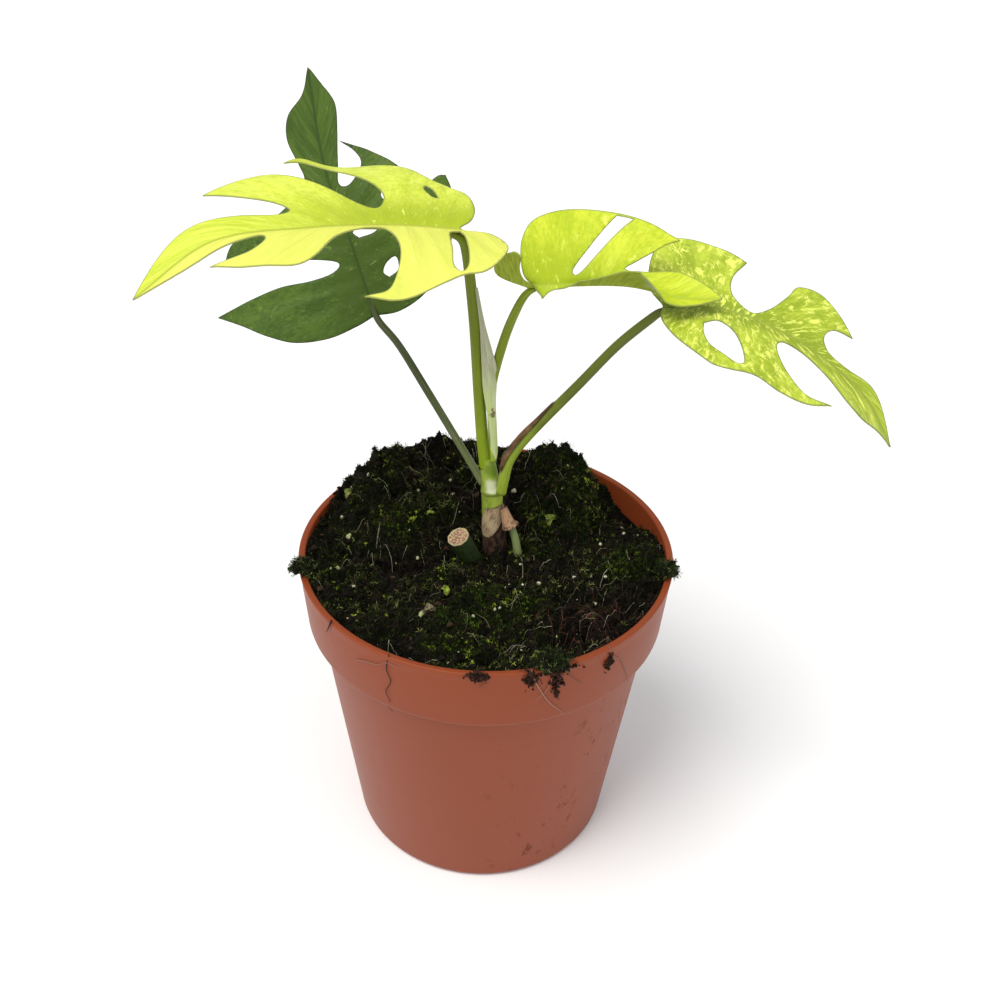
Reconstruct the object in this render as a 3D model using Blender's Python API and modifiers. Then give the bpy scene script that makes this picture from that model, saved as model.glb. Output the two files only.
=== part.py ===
"""Young split-leaf monstera in a 12 cm nursery pot, built piece by piece.

Blender units are metres with +Z up. Every length below is written in millimetres and
turned into metres where a mesh is made. The origin is the middle of the pot's base,
on the surface that the pot stands on.
"""
import bmesh
import bpy
import numpy as np

MM = 0.001

# Driving dimensions, in millimetres
RIM_RADIUS = 60.0
POT_HEIGHT = 109.0
BASE_RADIUS = 44.3
NECK_RADIUS = 54.4          # the body just under the collar
COLLAR_HEIGHT = 22.8
WALL = 1.4
PAD_RADIUS = 18.0           # flat middle of the base, which the pot rests on
FOOT_INNER_RADIUS = 35.0    # the foot ring runs from here to the rounded edge
RECESS_DEPTH = 2.0
DRAIN_HOLES = 8
DRAIN_RADIUS = 3.6
DRAIN_CIRCLE = 26.5
SOIL_LEVEL = 105.0
FIT_GAP = 0.35              # clearance between pieces that touch
BLADE_THICKNESS = 0.5
SHEATH_THICKNESS = 0.35
OUTLINE_STEP = 2.6          # spacing of the points round a leaf
BLADE_GRID = 7.0            # spacing of the cuts that let a blade bend

POT_SEGMENTS = 48


# Collections, materials and small helpers

def clear_scene():
    for old in list(bpy.data.objects):
        bpy.data.objects.remove(old, do_unlink=True)


def new_collection(name):
    collection = bpy.data.collections.new(name)
    bpy.context.scene.collection.children.link(collection)
    return collection


def make_material(name, colour, roughness, metallic=0.0):
    material = bpy.data.materials.new(name)
    material.use_nodes = True
    shader = material.node_tree.nodes["Principled BSDF"]
    shader.inputs["Base Color"].default_value = (*colour, 1.0)
    shader.inputs["Roughness"].default_value = roughness
    shader.inputs["Metallic"].default_value = metallic
    material.diffuse_color = (*colour, 1.0)
    return material


def add_object(name, data, colour, roughness):
    """Put one named piece in the plant's collection, with a material of its own."""
    piece = bpy.data.objects.new(name, data)
    PLANT.objects.link(piece)
    data.materials.clear()
    data.materials.append(make_material(name + "_finish", colour, roughness))
    return piece


def as_mesh(piece):
    """Replace an object by a plain mesh of its evaluated shape, its loose caps welded."""
    bpy.context.view_layer.update()
    graph = bpy.context.evaluated_depsgraph_get()
    mesh = bpy.data.meshes.new_from_object(piece.evaluated_get(graph))
    mesh.transform(piece.matrix_world)
    body = bmesh.new()
    body.from_mesh(mesh)
    bmesh.ops.remove_doubles(body, verts=body.verts, dist=0.00001)
    bmesh.ops.recalc_face_normals(body, faces=body.faces)
    body.to_mesh(mesh)
    body.free()
    bpy.data.objects.remove(piece, do_unlink=True)
    return mesh


def spline_through(points, samples=12):
    """Catmull-Rom curve: passes through every point, with its end points mirrored."""
    points = np.asarray(points, float)
    guard = np.vstack([2 * points[0] - points[1], points, 2 * points[-1] - points[-2]])
    t = np.linspace(0.0, 1.0, samples, endpoint=False)[:, None]
    stretches = []
    for a, b, c, d in zip(guard, guard[1:], guard[2:], guard[3:]):
        stretches.append(0.5 * (2 * b + (c - a) * t + (2 * a - 5 * b + 4 * c - d) * t**2
                                + (3 * b - a - 3 * c + d) * t**3))
    return np.vstack(stretches + [points[-1:]])


def evenly(points, step):
    """The same line with its points about one step apart."""
    length = np.concatenate([[0.0], np.cumsum(np.linalg.norm(np.diff(points, axis=0), axis=1))])
    count = max(2, int(round(length[-1] / step)) + 1)
    at = np.linspace(0.0, length[-1], count)
    return np.stack([np.interp(at, length, column) for column in points.T], axis=1)


def tube(name, route, radii, colour, roughness, step=5.0, resolution=2):
    """A stalk or a root: a round section whose radius changes along a smooth route."""
    line = evenly(spline_through(np.column_stack([route, radii])), step)
    curve = bpy.data.curves.new(name, "CURVE")
    curve.dimensions = "3D"
    curve.bevel_depth = MM
    curve.bevel_resolution = resolution
    curve.use_fill_caps = True
    spline = curve.splines.new("POLY")
    spline.points.add(len(line) - 1)
    for point, (x, y, z, radius) in zip(spline.points, line):
        point.co = (x * MM, y * MM, z * MM, 1.0)
        point.radius = radius
    draft = bpy.data.objects.new(name + "_curve", curve)
    PLANT.objects.link(draft)
    piece = add_object(name, as_mesh(draft), colour, roughness)
    piece.data.shade_smooth()
    return piece


def turned(name, profile, segments):
    """A turned solid: the profile's outer side runs from top to bottom, both ends on the axis."""
    mesh = bpy.data.meshes.new(name)
    rows = [(radius * MM, 0.0, height * MM) for radius, height in profile]
    mesh.from_pydata(rows, [(i, i + 1) for i in range(len(rows) - 1)], [])
    piece = bpy.data.objects.new(name, mesh)
    PLANT.objects.link(piece)
    screw = piece.modifiers.new("turn", "SCREW")
    screw.steps = screw.render_steps = segments
    screw.use_merge_vertices = True
    screw.merge_threshold = 0.00001
    return piece


def cut(target, cutter_mesh, name):
    """Take a cutter's shape away from a piece."""
    cutter = bpy.data.objects.new(name, cutter_mesh)
    CUTTERS.objects.link(cutter)
    cutter.hide_render = True
    cutter.display_type = "WIRE"
    boolean = target.modifiers.new(name, "BOOLEAN")
    boolean.operation = "DIFFERENCE"
    boolean.object = cutter


# The pot: a thin moulded shell with a collar, a recessed base and a ring of drainage holes

def build_pot():
    neck_height = POT_HEIGHT - COLLAR_HEIGHT
    inner_neck = NECK_RADIUS - WALL
    profile = [
        (0.0, 1.5), (PAD_RADIUS - 1.0, 1.5), (PAD_RADIUS + 0.6, RECESS_DEPTH + WALL),
        (FOOT_INNER_RADIUS - 0.8, RECESS_DEPTH + WALL), (FOOT_INNER_RADIUS + 0.8, 1.5),
        (BASE_RADIUS - 3.0, 1.5), (BASE_RADIUS - 1.3, 3.2),
        (inner_neck, neck_height + 1.0), (RIM_RADIUS - 3.6, neck_height + 3.4),
        (RIM_RADIUS - 2.4, POT_HEIGHT - 3.0), (RIM_RADIUS - 2.2, POT_HEIGHT - 0.6),
        (RIM_RADIUS - 1.6, POT_HEIGHT), (RIM_RADIUS - 0.5, POT_HEIGHT),
        (RIM_RADIUS, POT_HEIGHT - 0.6), (RIM_RADIUS - 0.2, POT_HEIGHT - 3.2),
        (RIM_RADIUS - 2.1, neck_height + 0.5), (RIM_RADIUS - 2.6, neck_height),
        (NECK_RADIUS, neck_height - 0.5), (BASE_RADIUS + 0.3, 3.0),
        (BASE_RADIUS - 0.7, 0.9), (BASE_RADIUS - 2.6, 0.0),
        (FOOT_INNER_RADIUS, 0.0), (FOOT_INNER_RADIUS - 1.0, RECESS_DEPTH),
        (PAD_RADIUS + 1.0, RECESS_DEPTH), (PAD_RADIUS, 0.0), (0.0, 0.0),
    ]
    draft = turned("pot_draft", profile, POT_SEGMENTS)
    pot = add_object("pot", as_mesh(draft), (0.55, 0.17, 0.07), 0.45)
    pot.data.shade_smooth()
    pot.data.set_sharp_from_angle(angle=np.radians(35))
    for number in range(DRAIN_HOLES):
        angle = 2 * np.pi * (number + 0.5) / DRAIN_HOLES
        drill = bmesh.new()
        bmesh.ops.create_cone(drill, cap_ends=True, segments=12, radius1=DRAIN_RADIUS * MM,
                              radius2=DRAIN_RADIUS * MM, depth=10 * MM)
        place = (DRAIN_CIRCLE * np.cos(angle) * MM, DRAIN_CIRCLE * np.sin(angle) * MM, 3 * MM)
        bmesh.ops.translate(drill, verts=drill.verts, vec=place)
        mesh = bpy.data.meshes.new(f"drain_{number + 1}")
        drill.to_mesh(mesh)
        drill.free()
        cut(pot, mesh, f"drain_{number + 1}")
    return pot


# The soil: it fills the pot and rises in a low mound behind the stem

def soil_height(x, y):
    """Height of the soil's surface over the point (x, y)."""
    def bump(height, x0, y0, spread):
        return height * np.exp(-((x - x0)**2 + (y - y0)**2) / spread**2)
    mound = bump(6.0, -22.0, 34.0, 26.0) + bump(5.0, 22.0, 36.0, 15.0) + bump(2.5, 0.0, -14.0, 18.0)
    hollow = bump(9.0, 47.0, 26.0, 12.0) + bump(7.0, -25.0, -4.0, 8.0)
    lumps = 0.5 * np.sin(x / 5.1 + 0.6) * np.cos(y / 5.7 - 0.4)
    return SOIL_LEVEL + mound - hollow + lumps - 2.5 * (np.hypot(x, y) / RIM_RADIUS)**6


SOIL_SOCKETS = []


def build_soil():
    """A turned plug that fits the pot, whose top points are then moved to the mound's height."""
    neck_height = POT_HEIGHT - COLLAR_HEIGHT
    top_radius = RIM_RADIUS - 3.4
    rings = np.linspace(0.0, top_radius, 12)
    side = [(top_radius - 0.6, 100.0), (RIM_RADIUS - 5.2, neck_height + 5.5),
            (NECK_RADIUS - WALL - 1.0, neck_height), (BASE_RADIUS - 1.9, 6.0), (BASE_RADIUS - 4.0, 4.0)]
    profile = [(ring, SOIL_LEVEL) for ring in rings] + side + [(0.0, 4.0)]
    mesh = as_mesh(turned("soil_draft", profile, 40))
    for vertex in mesh.vertices:
        if vertex.co.z > (SOIL_LEVEL - 1.0) * MM:
            vertex.co.z = soil_height(vertex.co.x / MM, vertex.co.y / MM) * MM
    soil = add_object("soil", mesh, (0.02, 0.013, 0.009), 0.95)
    soil.data.shade_smooth()
    for name, route, radii in SOIL_SOCKETS:
        socket = tube(name + "_tube", route, np.asarray(radii) + FIT_GAP, (0, 0, 0), 1.0)
        cut(soil, as_mesh(socket), name)
    return soil


def planted_tube(name, route, radii, colour, roughness, step=5.0, resolution=2):
    """A tube whose foot is buried: the soil gets a socket of the same shape, a little wider."""
    foot = [point for point in route if point[2] < SOIL_LEVEL + 14.0]
    SOIL_SOCKETS.append(("socket_" + name, [(*foot[0][:2], foot[0][2] - 1.0)] + foot[1:],
                         list(radii)[:len(foot)]))
    return tube(name, route, radii, colour, roughness, step, resolution)


def cushion(name, centre, radii, turn, height, colour, wobble=0.12):
    """A moss cushion: a low dome with a wavy edge, its underside laid on the soil."""
    rings, sectors = 4, 18
    rows = np.linspace(0.0, 1.0, rings + 1)[1:]
    angles = np.linspace(0.0, 2 * np.pi, sectors, endpoint=False)
    reach = 1.0 + wobble * np.sin(3 * angles + centre[0]) + wobble * np.sin(5 * angles + centre[1])
    local = np.stack([radii[0] * rows[:, None] * reach * np.cos(angles),
                      radii[1] * rows[:, None] * reach * np.sin(angles)], axis=-1).reshape(-1, 2)
    local = np.vstack([[0.0, 0.0], local])
    c, s = np.cos(turn), np.sin(turn)
    x = centre[0] + c * local[:, 0] - s * local[:, 1]
    y = centre[1] + s * local[:, 0] + c * local[:, 1]
    under = soil_height(x, y) + 0.9
    level = np.concatenate([[0.0], np.repeat(rows, sectors)])
    over = under + 0.6 + height * (1.0 - level**2) * (1.0 + 0.25 * np.sin(x / 2.3) * np.cos(y / 2.9))
    count = len(x)
    points = np.vstack([np.stack([x, y, under], 1), np.stack([x, y, over], 1)]) * MM
    faces = []
    for k in range(sectors):
        n = (k + 1) % sectors
        faces.append((count, count + 1 + k, count + 1 + n))
        faces.append((0, 1 + n, 1 + k))
        for ring in range(rings - 1):
            a, b = 1 + ring * sectors, 1 + (ring + 1) * sectors
            faces.append((count + a + k, count + b + k, count + b + n, count + a + n))
            faces.append((a + k, a + n, b + n, b + k))
        edge = 1 + (rings - 1) * sectors
        faces.append((edge + k, edge + n, count + edge + n, count + edge + k))
    mesh = bpy.data.meshes.new(name)
    mesh.from_pydata(points.tolist(), [], faces)
    piece = add_object(name, mesh, colour, 0.95)
    piece.data.shade_smooth()
    return piece


def pebble(name, centre, size, turn, colour, roughness=0.9):
    """A grain of perlite or a crumb of peat: a squashed low ball resting on the soil."""
    grain = bmesh.new()
    bmesh.ops.create_icosphere(grain, subdivisions=2, radius=MM)
    for vertex in grain.verts:
        x, y, z = vertex.co / MM
        swell = 1.0 + 0.16 * np.sin(4 * x + turn) * np.cos(3 * y) + 0.1 * np.sin(5 * z + turn)
        flat_x = size[0] * x * swell
        flat_y = size[1] * y * swell
        vertex.co.x = (centre[0] + np.cos(turn) * flat_x - np.sin(turn) * flat_y) * MM
        vertex.co.y = (centre[1] + np.sin(turn) * flat_x + np.cos(turn) * flat_y) * MM
        vertex.co.z = (centre[2] + size[2] * z * swell) * MM
    mesh = bpy.data.meshes.new(name)
    grain.to_mesh(mesh)
    grain.free()
    piece = add_object(name, mesh, colour, roughness)
    piece.data.shade_smooth()
    return piece


# Sheaths: thin skins wrapped round a stalk

def rolled_rows(stations):
    """Rows of a rolled skin. Each station is (centre, radius, first angle, last angle).

    A row is an arc square to the route. Its angles turn about the route from the +X side
    towards the +Y side.
    """
    route = np.array([centre for centre, _, _, _ in stations], float)
    ahead = np.gradient(route, axis=0)
    ahead /= np.linalg.norm(ahead, axis=1)[:, None]
    rows = []
    for (centre, radius, first, last), along in zip(stations, ahead):
        across = np.array([1.0, 0.0, 0.0]) - along[0] * along
        across /= np.linalg.norm(across)
        inward = np.cross(along, across)
        angle = np.radians(np.linspace(first, last, 7))[:, None]
        rows.append(centre + radius * (np.cos(angle) * across + np.sin(angle) * inward))
    return rows


def sheath(name, rows, colour, roughness):
    """A thin skin through rows of points, each row running to the right as seen from outside."""
    across = len(rows[0])
    faces = [(i * across + j, i * across + j + 1, (i + 1) * across + j + 1, (i + 1) * across + j)
             for i in range(len(rows) - 1) for j in range(across - 1)]
    mesh = bpy.data.meshes.new(name)
    mesh.from_pydata((np.vstack(rows) * MM).tolist(), [], faces)
    piece = add_object(name, mesh, colour, roughness)
    piece.data.shade_smooth()
    skin = piece.modifiers.new("skin", "SOLIDIFY")
    skin.thickness = SHEATH_THICKNESS * MM
    skin.offset = 1.0
    return piece


# Leaf blades: a flat outline with its splits and holes, bent over a curved midrib

class Blade:
    """How a flat leaf is bent. u runs along the midrib from the base to the tip, and v runs
    out from it, positive to the left of somebody looking along the rib from above.

    Each half leaves the rib at a fold angle and then bends by a steady number of degrees per
    millimetre. Both change evenly from the base to the tip.
    """

    def __init__(self, rib, up_base, up_tip, left, right):
        self.line = spline_through(rib, 40)
        steps = np.linalg.norm(np.diff(self.line, axis=0), axis=1)
        self.along = np.concatenate([[0.0], np.cumsum(steps)])
        self.length = self.along[-1]
        slope = np.gradient(self.line, self.along, axis=0)
        self.slope = slope / np.linalg.norm(slope, axis=1)[:, None]
        self.up_base = np.array(up_base, float)
        self.up_tip = np.array(up_tip, float)
        self.left = left
        self.right = right

    def bend(self, u, v):
        """Points in space for flat points: an arc of a circle on each side of the rib."""
        inside = np.clip(u, 0.0, self.length)
        rib = np.stack([np.interp(inside, self.along, c) for c in self.line.T], 1)
        ahead = np.stack([np.interp(inside, self.along, c) for c in self.slope.T], 1)
        ahead /= np.linalg.norm(ahead, axis=1)[:, None]
        rib = rib + ahead * (u - inside)[:, None]
        part = (inside / self.length)[:, None]
        up = self.up_base * (1 - part) + self.up_tip * part
        up = up - np.sum(up * ahead, 1)[:, None] * ahead
        up /= np.linalg.norm(up, axis=1)[:, None]
        left = np.cross(up, ahead)
        part = part[:, 0]
        is_left = v >= 0
        fold = np.where(is_left, self.left[0] * (1 - part) + self.left[1] * part,
                        self.right[0] * (1 - part) + self.right[1] * part)
        roll = np.where(is_left, self.left[2] * (1 - part) + self.left[3] * part,
                        self.right[2] * (1 - part) + self.right[3] * part)
        fold, roll = np.radians(fold), np.radians(roll)
        reach = np.abs(v)
        out = (np.sin(fold + roll * reach) - np.sin(fold)) / roll
        rise = (np.cos(fold) - np.cos(fold + roll * reach)) / roll
        side = np.where(is_left, out, -out)
        return rib + left * side[:, None] + up * rise[:, None]


def outline_points(runs):
    """A closed outline from runs of points. Every run starts at a sharp corner and is smooth."""
    line = []
    for run, following in zip(runs, runs[1:] + runs[:1]):
        smooth = evenly(spline_through(run + following[:1], 8), OUTLINE_STEP)
        line.extend(smooth[:-1])
    return np.array(line)


def flat_sheet(name, outlines):
    """A flat face inside the first outline and outside the others, by filling a 2D curve."""
    curve = bpy.data.curves.new(name, "CURVE")
    curve.dimensions = "2D"
    curve.fill_mode = "BOTH"
    for outline in outlines:
        spline = curve.splines.new("POLY")
        spline.points.add(len(outline) - 1)
        for point, (u, v) in zip(spline.points, outline):
            point.co = (u * MM, v * MM, 0.0, 1.0)
        spline.use_cyclic_u = True
    draft = bpy.data.objects.new(name + "_flat", curve)
    PLANT.objects.link(draft)
    return as_mesh(draft)


def build_blade(name, blade, margin, holes, colour, roughness):
    mesh = flat_sheet(name, [outline_points(margin)] + [outline_points(hole) for hole in holes])
    sheet = bmesh.new()
    sheet.from_mesh(mesh)
    bmesh.ops.dissolve_limit(sheet, angle_limit=0.01, verts=sheet.verts, edges=sheet.edges)
    low = np.min([v.co[:2] for v in sheet.verts], axis=0)
    high = np.max([v.co[:2] for v in sheet.verts], axis=0)
    for axis in (0, 1):
        first = np.ceil(low[axis] / (BLADE_GRID * MM)) * BLADE_GRID * MM
        for place in np.arange(first, high[axis], BLADE_GRID * MM):
            point, normal = [0.0, 0.0, 0.0], [0.0, 0.0, 0.0]
            point[axis], normal[axis] = place, 1.0
            bmesh.ops.bisect_plane(sheet, geom=sheet.verts[:] + sheet.edges[:] + sheet.faces[:],
                                   plane_co=point, plane_no=normal, dist=0.00001)
    bmesh.ops.remove_doubles(sheet, verts=sheet.verts, dist=0.0001)
    bmesh.ops.triangulate(sheet, faces=sheet.faces)
    flat = np.array([v.co[:2] for v in sheet.verts]) / MM
    bent = blade.bend(flat[:, 0], flat[:, 1]) * MM
    for vertex, place in zip(sheet.verts, bent):
        vertex.co = place
    bmesh.ops.recalc_face_normals(sheet, faces=sheet.faces)
    sheet.to_mesh(mesh)
    sheet.free()
    piece = add_object(name, mesh, colour, roughness)
    piece.data.shade_smooth()
    body = piece.modifiers.new("body", "SOLIDIFY")
    body.thickness = BLADE_THICKNESS * MM
    body.offset = 0.0
    return piece


# The oldest open leaf, on the left: bright yellow-green, arching over to its tip
LEFT = Blade(
    rib=[(-9, 4, 215), (-28, 1, 217), (-50, -5, 218), (-74, -11, 216), (-94, -18, 203)],
    up_base=(0, -0.05, 1), up_tip=(0, -0.1, 1),
    left=(2, -6, -0.7, -0.7), right=(15, 13, -0.9, -0.5))
LEFT_MARGIN = [
    [(93.5, 0), (86, 3.5), (76, 7), (69, 6.5), (60, 3.5), (54, 2.4), (53.5, 5), (58, 9), (64, 10.3)],
    [(70, 10), (62, 14.3), (53, 15.5), (46, 16), (41, 13), (35, 6), (28, 2.6), (21.5, 2.6),
     (18.3, 9), (19, 18), (24, 28)],
    [(33, 31), (24, 33), (14, 31), (6, 27), (1, 23.5), (-4, 21.5), (-9, 16), (-12, 9), (-8, 2.5), (-2, 1)],
    [(0, -0.5), (-3.5, -4), (-5, -10), (-3.5, -18), (1, -22), (7, -26), (13, -34), (22, -40), (33, -42)],
    [(44, -37), (35, -34), (27, -30), (21.5, -22), (19.5, -13), (22, -7), (27, -10), (35, -20),
     (44, -26.5), (54, -29)],
    [(66, -21), (57, -16), (49, -11.5), (45.5, -7.5), (50, -6), (60, -7), (72, -7), (83, -3)],
]
LEFT_HOLES = [
    [[(0.5, 2), (3.2, 3.5), (3.2, 12), (3.5, 19), (1.8, 22), (0, 19), (-0.8, 12), (-0.6, 5)]],
    [[(5.2, -13.5), (7, -14), (9, -18), (8.5, -20.5), (6.6, -18.5)]],
]

# The right-hand leaf: mottled green and yellow, drooping to the right
RIGHT = Blade(
    rib=[(48, 0, 195), (65, -3, 196), (85, -8, 190), (105, -12, 176), (116, -15, 160)],
    up_base=(0, -0.15, 1), up_tip=(0, -0.15, 1),
    left=(18, 18, -0.4, -0.4), right=(6, 6, -0.7, -0.7))
RIGHT_MARGIN = [
    [(84, 0), (76, -4), (67, -10), (59, -11), (50, -7.6), (41, -5.2), (35, -5.6), (34, -10),
     (38, -16.5), (45, -20)],
    [(54, -17.5), (47, -22.5), (38, -25), (30, -23.6), (23, -24.2), (15, -24), (8, -19.5), (3, -13),
     (0, -6)],
    [(0, 0.5), (-4, 6), (-5, 13), (-4, 21), (0, 26), (7, 27), (14, 23.5)],
    [(20, 19), (17.6, 12), (18.6, 5.5), (24.5, 1.6), (29, 5), (32.5, 12), (34.5, 17.5), (41, 20), (48, 17)],
    [(54.5, 12.5), (48.5, 10.5), (46.4, 6), (49.5, 2.4), (57, 2.2), (66, 4), (76, 2)],
]
RIGHT_HOLES = [
    [[(12, -8.5), (16, -6.6), (20.5, -9), (24, -14), (26.3, -20), (24.5, -21.4), (20, -19.8), (14.5, -17.5),
      (12.2, -13)]],
]

# The back leaf: dark green, standing up and facing forwards
BACK = Blade(
    rib=[(-38, 48, 166), (-46, 58, 187), (-55, 70, 208), (-60, 82, 235)],
    up_base=(0, -1, 0.35), up_tip=(0, -1, 0.3),
    left=(5, 5, -0.5, -0.5), right=(5, 5, -0.5, -0.5))
BACK_MARGIN = [
    [(81, 0), (73, 3), (67, 8.5), (60, 10), (52, 7.8), (47.5, 7.5), (43.5, 13), (41, 20), (40.5, 28), (37, 37)],
    [(29, 41.5), (26.5, 33), (25.2, 24), (23, 13), (19.6, 6), (17.2, 9), (17, 17), (18.2, 27), (17.6, 38),
     (16.5, 47)],
    [(15.5, 53.5), (12.5, 43), (5, 37), (-0.5, 28), (-2.5, 17), (-1.6, 7)],
    [(0, 0), (-1, -8), (1.5, -17), (7, -25), (15, -31), (23, -34), (29, -36.6)],
    [(33.5, -36.4), (34, -33.5), (31.5, -26), (31, -18), (34.5, -14.5), (38, -17.5)],
    [(42.5, -23), (45, -18.5), (51, -13)],
    [(58, -8), (51, -11.7), (45.5, -10.6), (42, -6), (43.5, -3), (50, -4.6), (60, -6.4), (69, -7),
     (76, -3.2)],
]
BACK_HOLES = [
    [[(10.5, -8.5), (12.5, -7), (15, -9), (16, -12.5), (12, -12)]],
    [[(25.2, -3), (27.6, -1.6), (28, -6), (26.8, -11), (25.2, -8)]],
]

# The youngest leaf: its halves are still folded up like a V
YOUNG = Blade(
    rib=[(9, 0, 199), (23, 0, 201), (44, -2, 199), (63, -6, 200)],
    up_base=(0, -0.1, 1), up_tip=(0, -0.3, 1),
    left=(62, 25, -0.3, -0.3), right=(60, 20, -0.5, -0.5))
YOUNG_MARGIN = [
    [(55, 0), (49, -5), (40, -10), (30, -13), (19, -13), (9, -11), (1, -9.5), (-5, -8.5), (-8, -5),
     (-5, -1.5)],
    [(0, 0.3), (-1.6, 6), (-0.6, 12), (3.5, 17.4), (10, 20.4), (17, 21.2), (25, 20.4), (32, 19.2)],
    [(38.5, 16.6), (34.6, 12.8), (30.4, 7), (28, 3.4), (31, 4), (36, 8), (42, 9.6), (49, 6)],
]
YOUNG_HOLES = [
    [[(13.6, 2.6), (17, 5.2), (22, 10.4), (26, 15.5), (27.2, 18), (24.8, 17.6), (21.5, 12.5), (16.5, 7.5)]],
]


def build_blades():
    build_blade("leaf_left", LEFT, LEFT_MARGIN, LEFT_HOLES, (0.42, 0.56, 0.05), 0.4)
    build_blade("leaf_right", RIGHT, RIGHT_MARGIN, RIGHT_HOLES, (0.33, 0.47, 0.06), 0.4)
    build_blade("leaf_back", BACK, BACK_MARGIN, BACK_HOLES, (0.09, 0.2, 0.02), 0.45)
    build_blade("leaf_young", YOUNG, YOUNG_MARGIN, YOUNG_HOLES, (0.5, 0.66, 0.06), 0.4)


# The stem and the stalks

def build_stems():
    green = (0.28, 0.4, 0.05)
    planted_tube("stem",
                 [(4.5, 2.6, 74), (3.6, 3, 92), (3.0, 3, 104), (2.2, 3.3, 117), (1.4, 3.6, 126),
                  (0.9, 3.7, 130), (0.3, 3.9, 134), (-0.3, 4, 139)],
                 [3.2, 3.8, 3.9, 3.8, 3.4, 3.3, 2.8, 2.5], green, 0.4, 4.5, 4)
    tube("stalk_left",
         [(-0.4, 4, 139.4), (-2, 4, 148), (-3.3, 4, 164.4), (-4.7, 4, 184.5), (-6.2, 4, 199.5),
          (-7.6, 4, 209), (-9.3, 4, 213.3)],
         [2.1, 1.75, 1.65, 1.6, 1.5, 1.4, 1.0], green, 0.4, 5.0, 3)
    tube("stalk_young",
         [(1.6, 1.0, 141), (0.9, 2.6, 150), (0.4, 3.2, 160), (0.9, 3.1, 168), (2.5, 2.5, 176.8),
          (4.7, 2, 185.7), (7.2, 1, 193.9), (8.6, 0.2, 197.6)],
         [0.9, 1.0, 1.1, 1.25, 1.35, 1.3, 1.2, 0.9], green, 0.4, 4.5, 3)
    tube("stalk_right",
         [(5.0, 0.6, 129), (5.1, 0.7, 134), (6.6, 1.1, 142), (12.3, 1.6, 150.8), (26, 1, 168.5),
          (36, 0.5, 181.6), (44.5, 0.1, 190.4), (47.2, 0, 193.4)],
         [0.9, 1.6, 1.65, 1.55, 1.4, 1.35, 1.3, 0.9], green, 0.4, 5.0, 3)
    tube("stalk_back",
         [(-2.5, 8, 129), (-6.1, 12, 133.2), (-19.8, 26, 150.5), (-29.5, 37, 161.0), (-36.6, 46.3, 164.4)],
         [0.9, 1.15, 1.15, 1.15, 0.9], (0.16, 0.22, 0.09), 0.5, 5.0, 3)
    planted_tube("aerial_root", [(12.0, -4.5, 96), (11.6, -4, 101), (10.4, -3, 108.2), (9, -1.6, 113.6),
                                 (7.9, -0.6, 117.5)],
                 [1.1, 1.2, 1.2, 1.2, 1.2], (0.3, 0.36, 0.2), 0.6, 3.0, 2)
    planted_tube("cut_stump", [(-2.6, -1.6, 94), (-3.4, -2.4, 100), (-6.4, -4.6, 110), (-9.0, -6.2, 117.2)],
                 [3.2, 3.4, 3.5, 3.4], (0.03, 0.07, 0.02), 0.5, 4.0, 4)


def build_sheaths():
    """The left stalk's sheath wraps the young stalk up to its mouth, then narrows to a wing."""
    levels = [
        (142, [(-0.2, 1.2), (1.0, -0.2), (2.6, 0.4), (3.0, 2.0)]),
        (150, [(-1.2, 1.6), (0.3, 1.1), (2.2, 1.9), (2.4, 3.6)]),
        (160, [(-1.9, 2.0), (-0.2, 1.7), (1.8, 2.4), (2.0, 4.2)]),
        (168, [(-2.3, 2.2), (0.3, 1.4), (2.4, 2.1), (2.7, 4.0)]),
        (172, [(-2.5, 2.2), (-0.4, 1.4), (1.4, 1.0), (2.6, 1.1)]),
        (178, [(-2.8, 2.4), (-1.5, 2.0), (-0.2, 1.7), (0.8, 1.5)]),
        (187, [(-3.4, 2.6), (-2.9, 2.4), (-2.4, 2.3), (-1.8, 2.2)]),
        (198, [(-4.8, 2.8), (-4.5, 2.7), (-4.3, 2.7), (-4.1, 2.6)]),
    ]
    rows = []
    for height, section in levels:
        line = spline_through(section, 2)
        rows.append(np.column_stack([line, np.full(len(line), height)]))
    sheath("stalk_sheath", rows, (0.5, 0.52, 0.33), 0.5)
    dried = [((5.4, 0.8, 138.0), 2.15, 150, 250), ((7.4, 1.2, 144.0), 2.15, 130, 255),
             ((12.3, 1.6, 150.8), 2.1, 130, 250), ((19.0, 1.4, 159.3), 2.0, 145, 230),
             ((24.8, 1.1, 166.9), 1.9, 165, 205)]
    sheath("dried_sheath", rolled_rows(dried), (0.16, 0.08, 0.06), 0.7)
    paper = [((2.95, 3.05, 109), 4.5, -150, 60), ((2.6, 3.2, 113), 4.45, -160, 75),
             ((2.2, 3.3, 117), 4.4, -150, 70), ((1.8, 3.4, 121.5), 4.2, -120, 40)]
    sheath("papery_sheath", rolled_rows(paper), (0.42, 0.3, 0.18), 0.8)
    collar = [((9.0, -1.2, 114.2), 2.7, -170, 150), ((8.5, -0.9, 116.4), 2.1, -170, 150),
              ((8.0, -0.6, 118.6), 1.9, -170, 150)]
    sheath("root_collar", rolled_rows(collar), (0.25, 0.12, 0.06), 0.8)


# What lies on the soil

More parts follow.
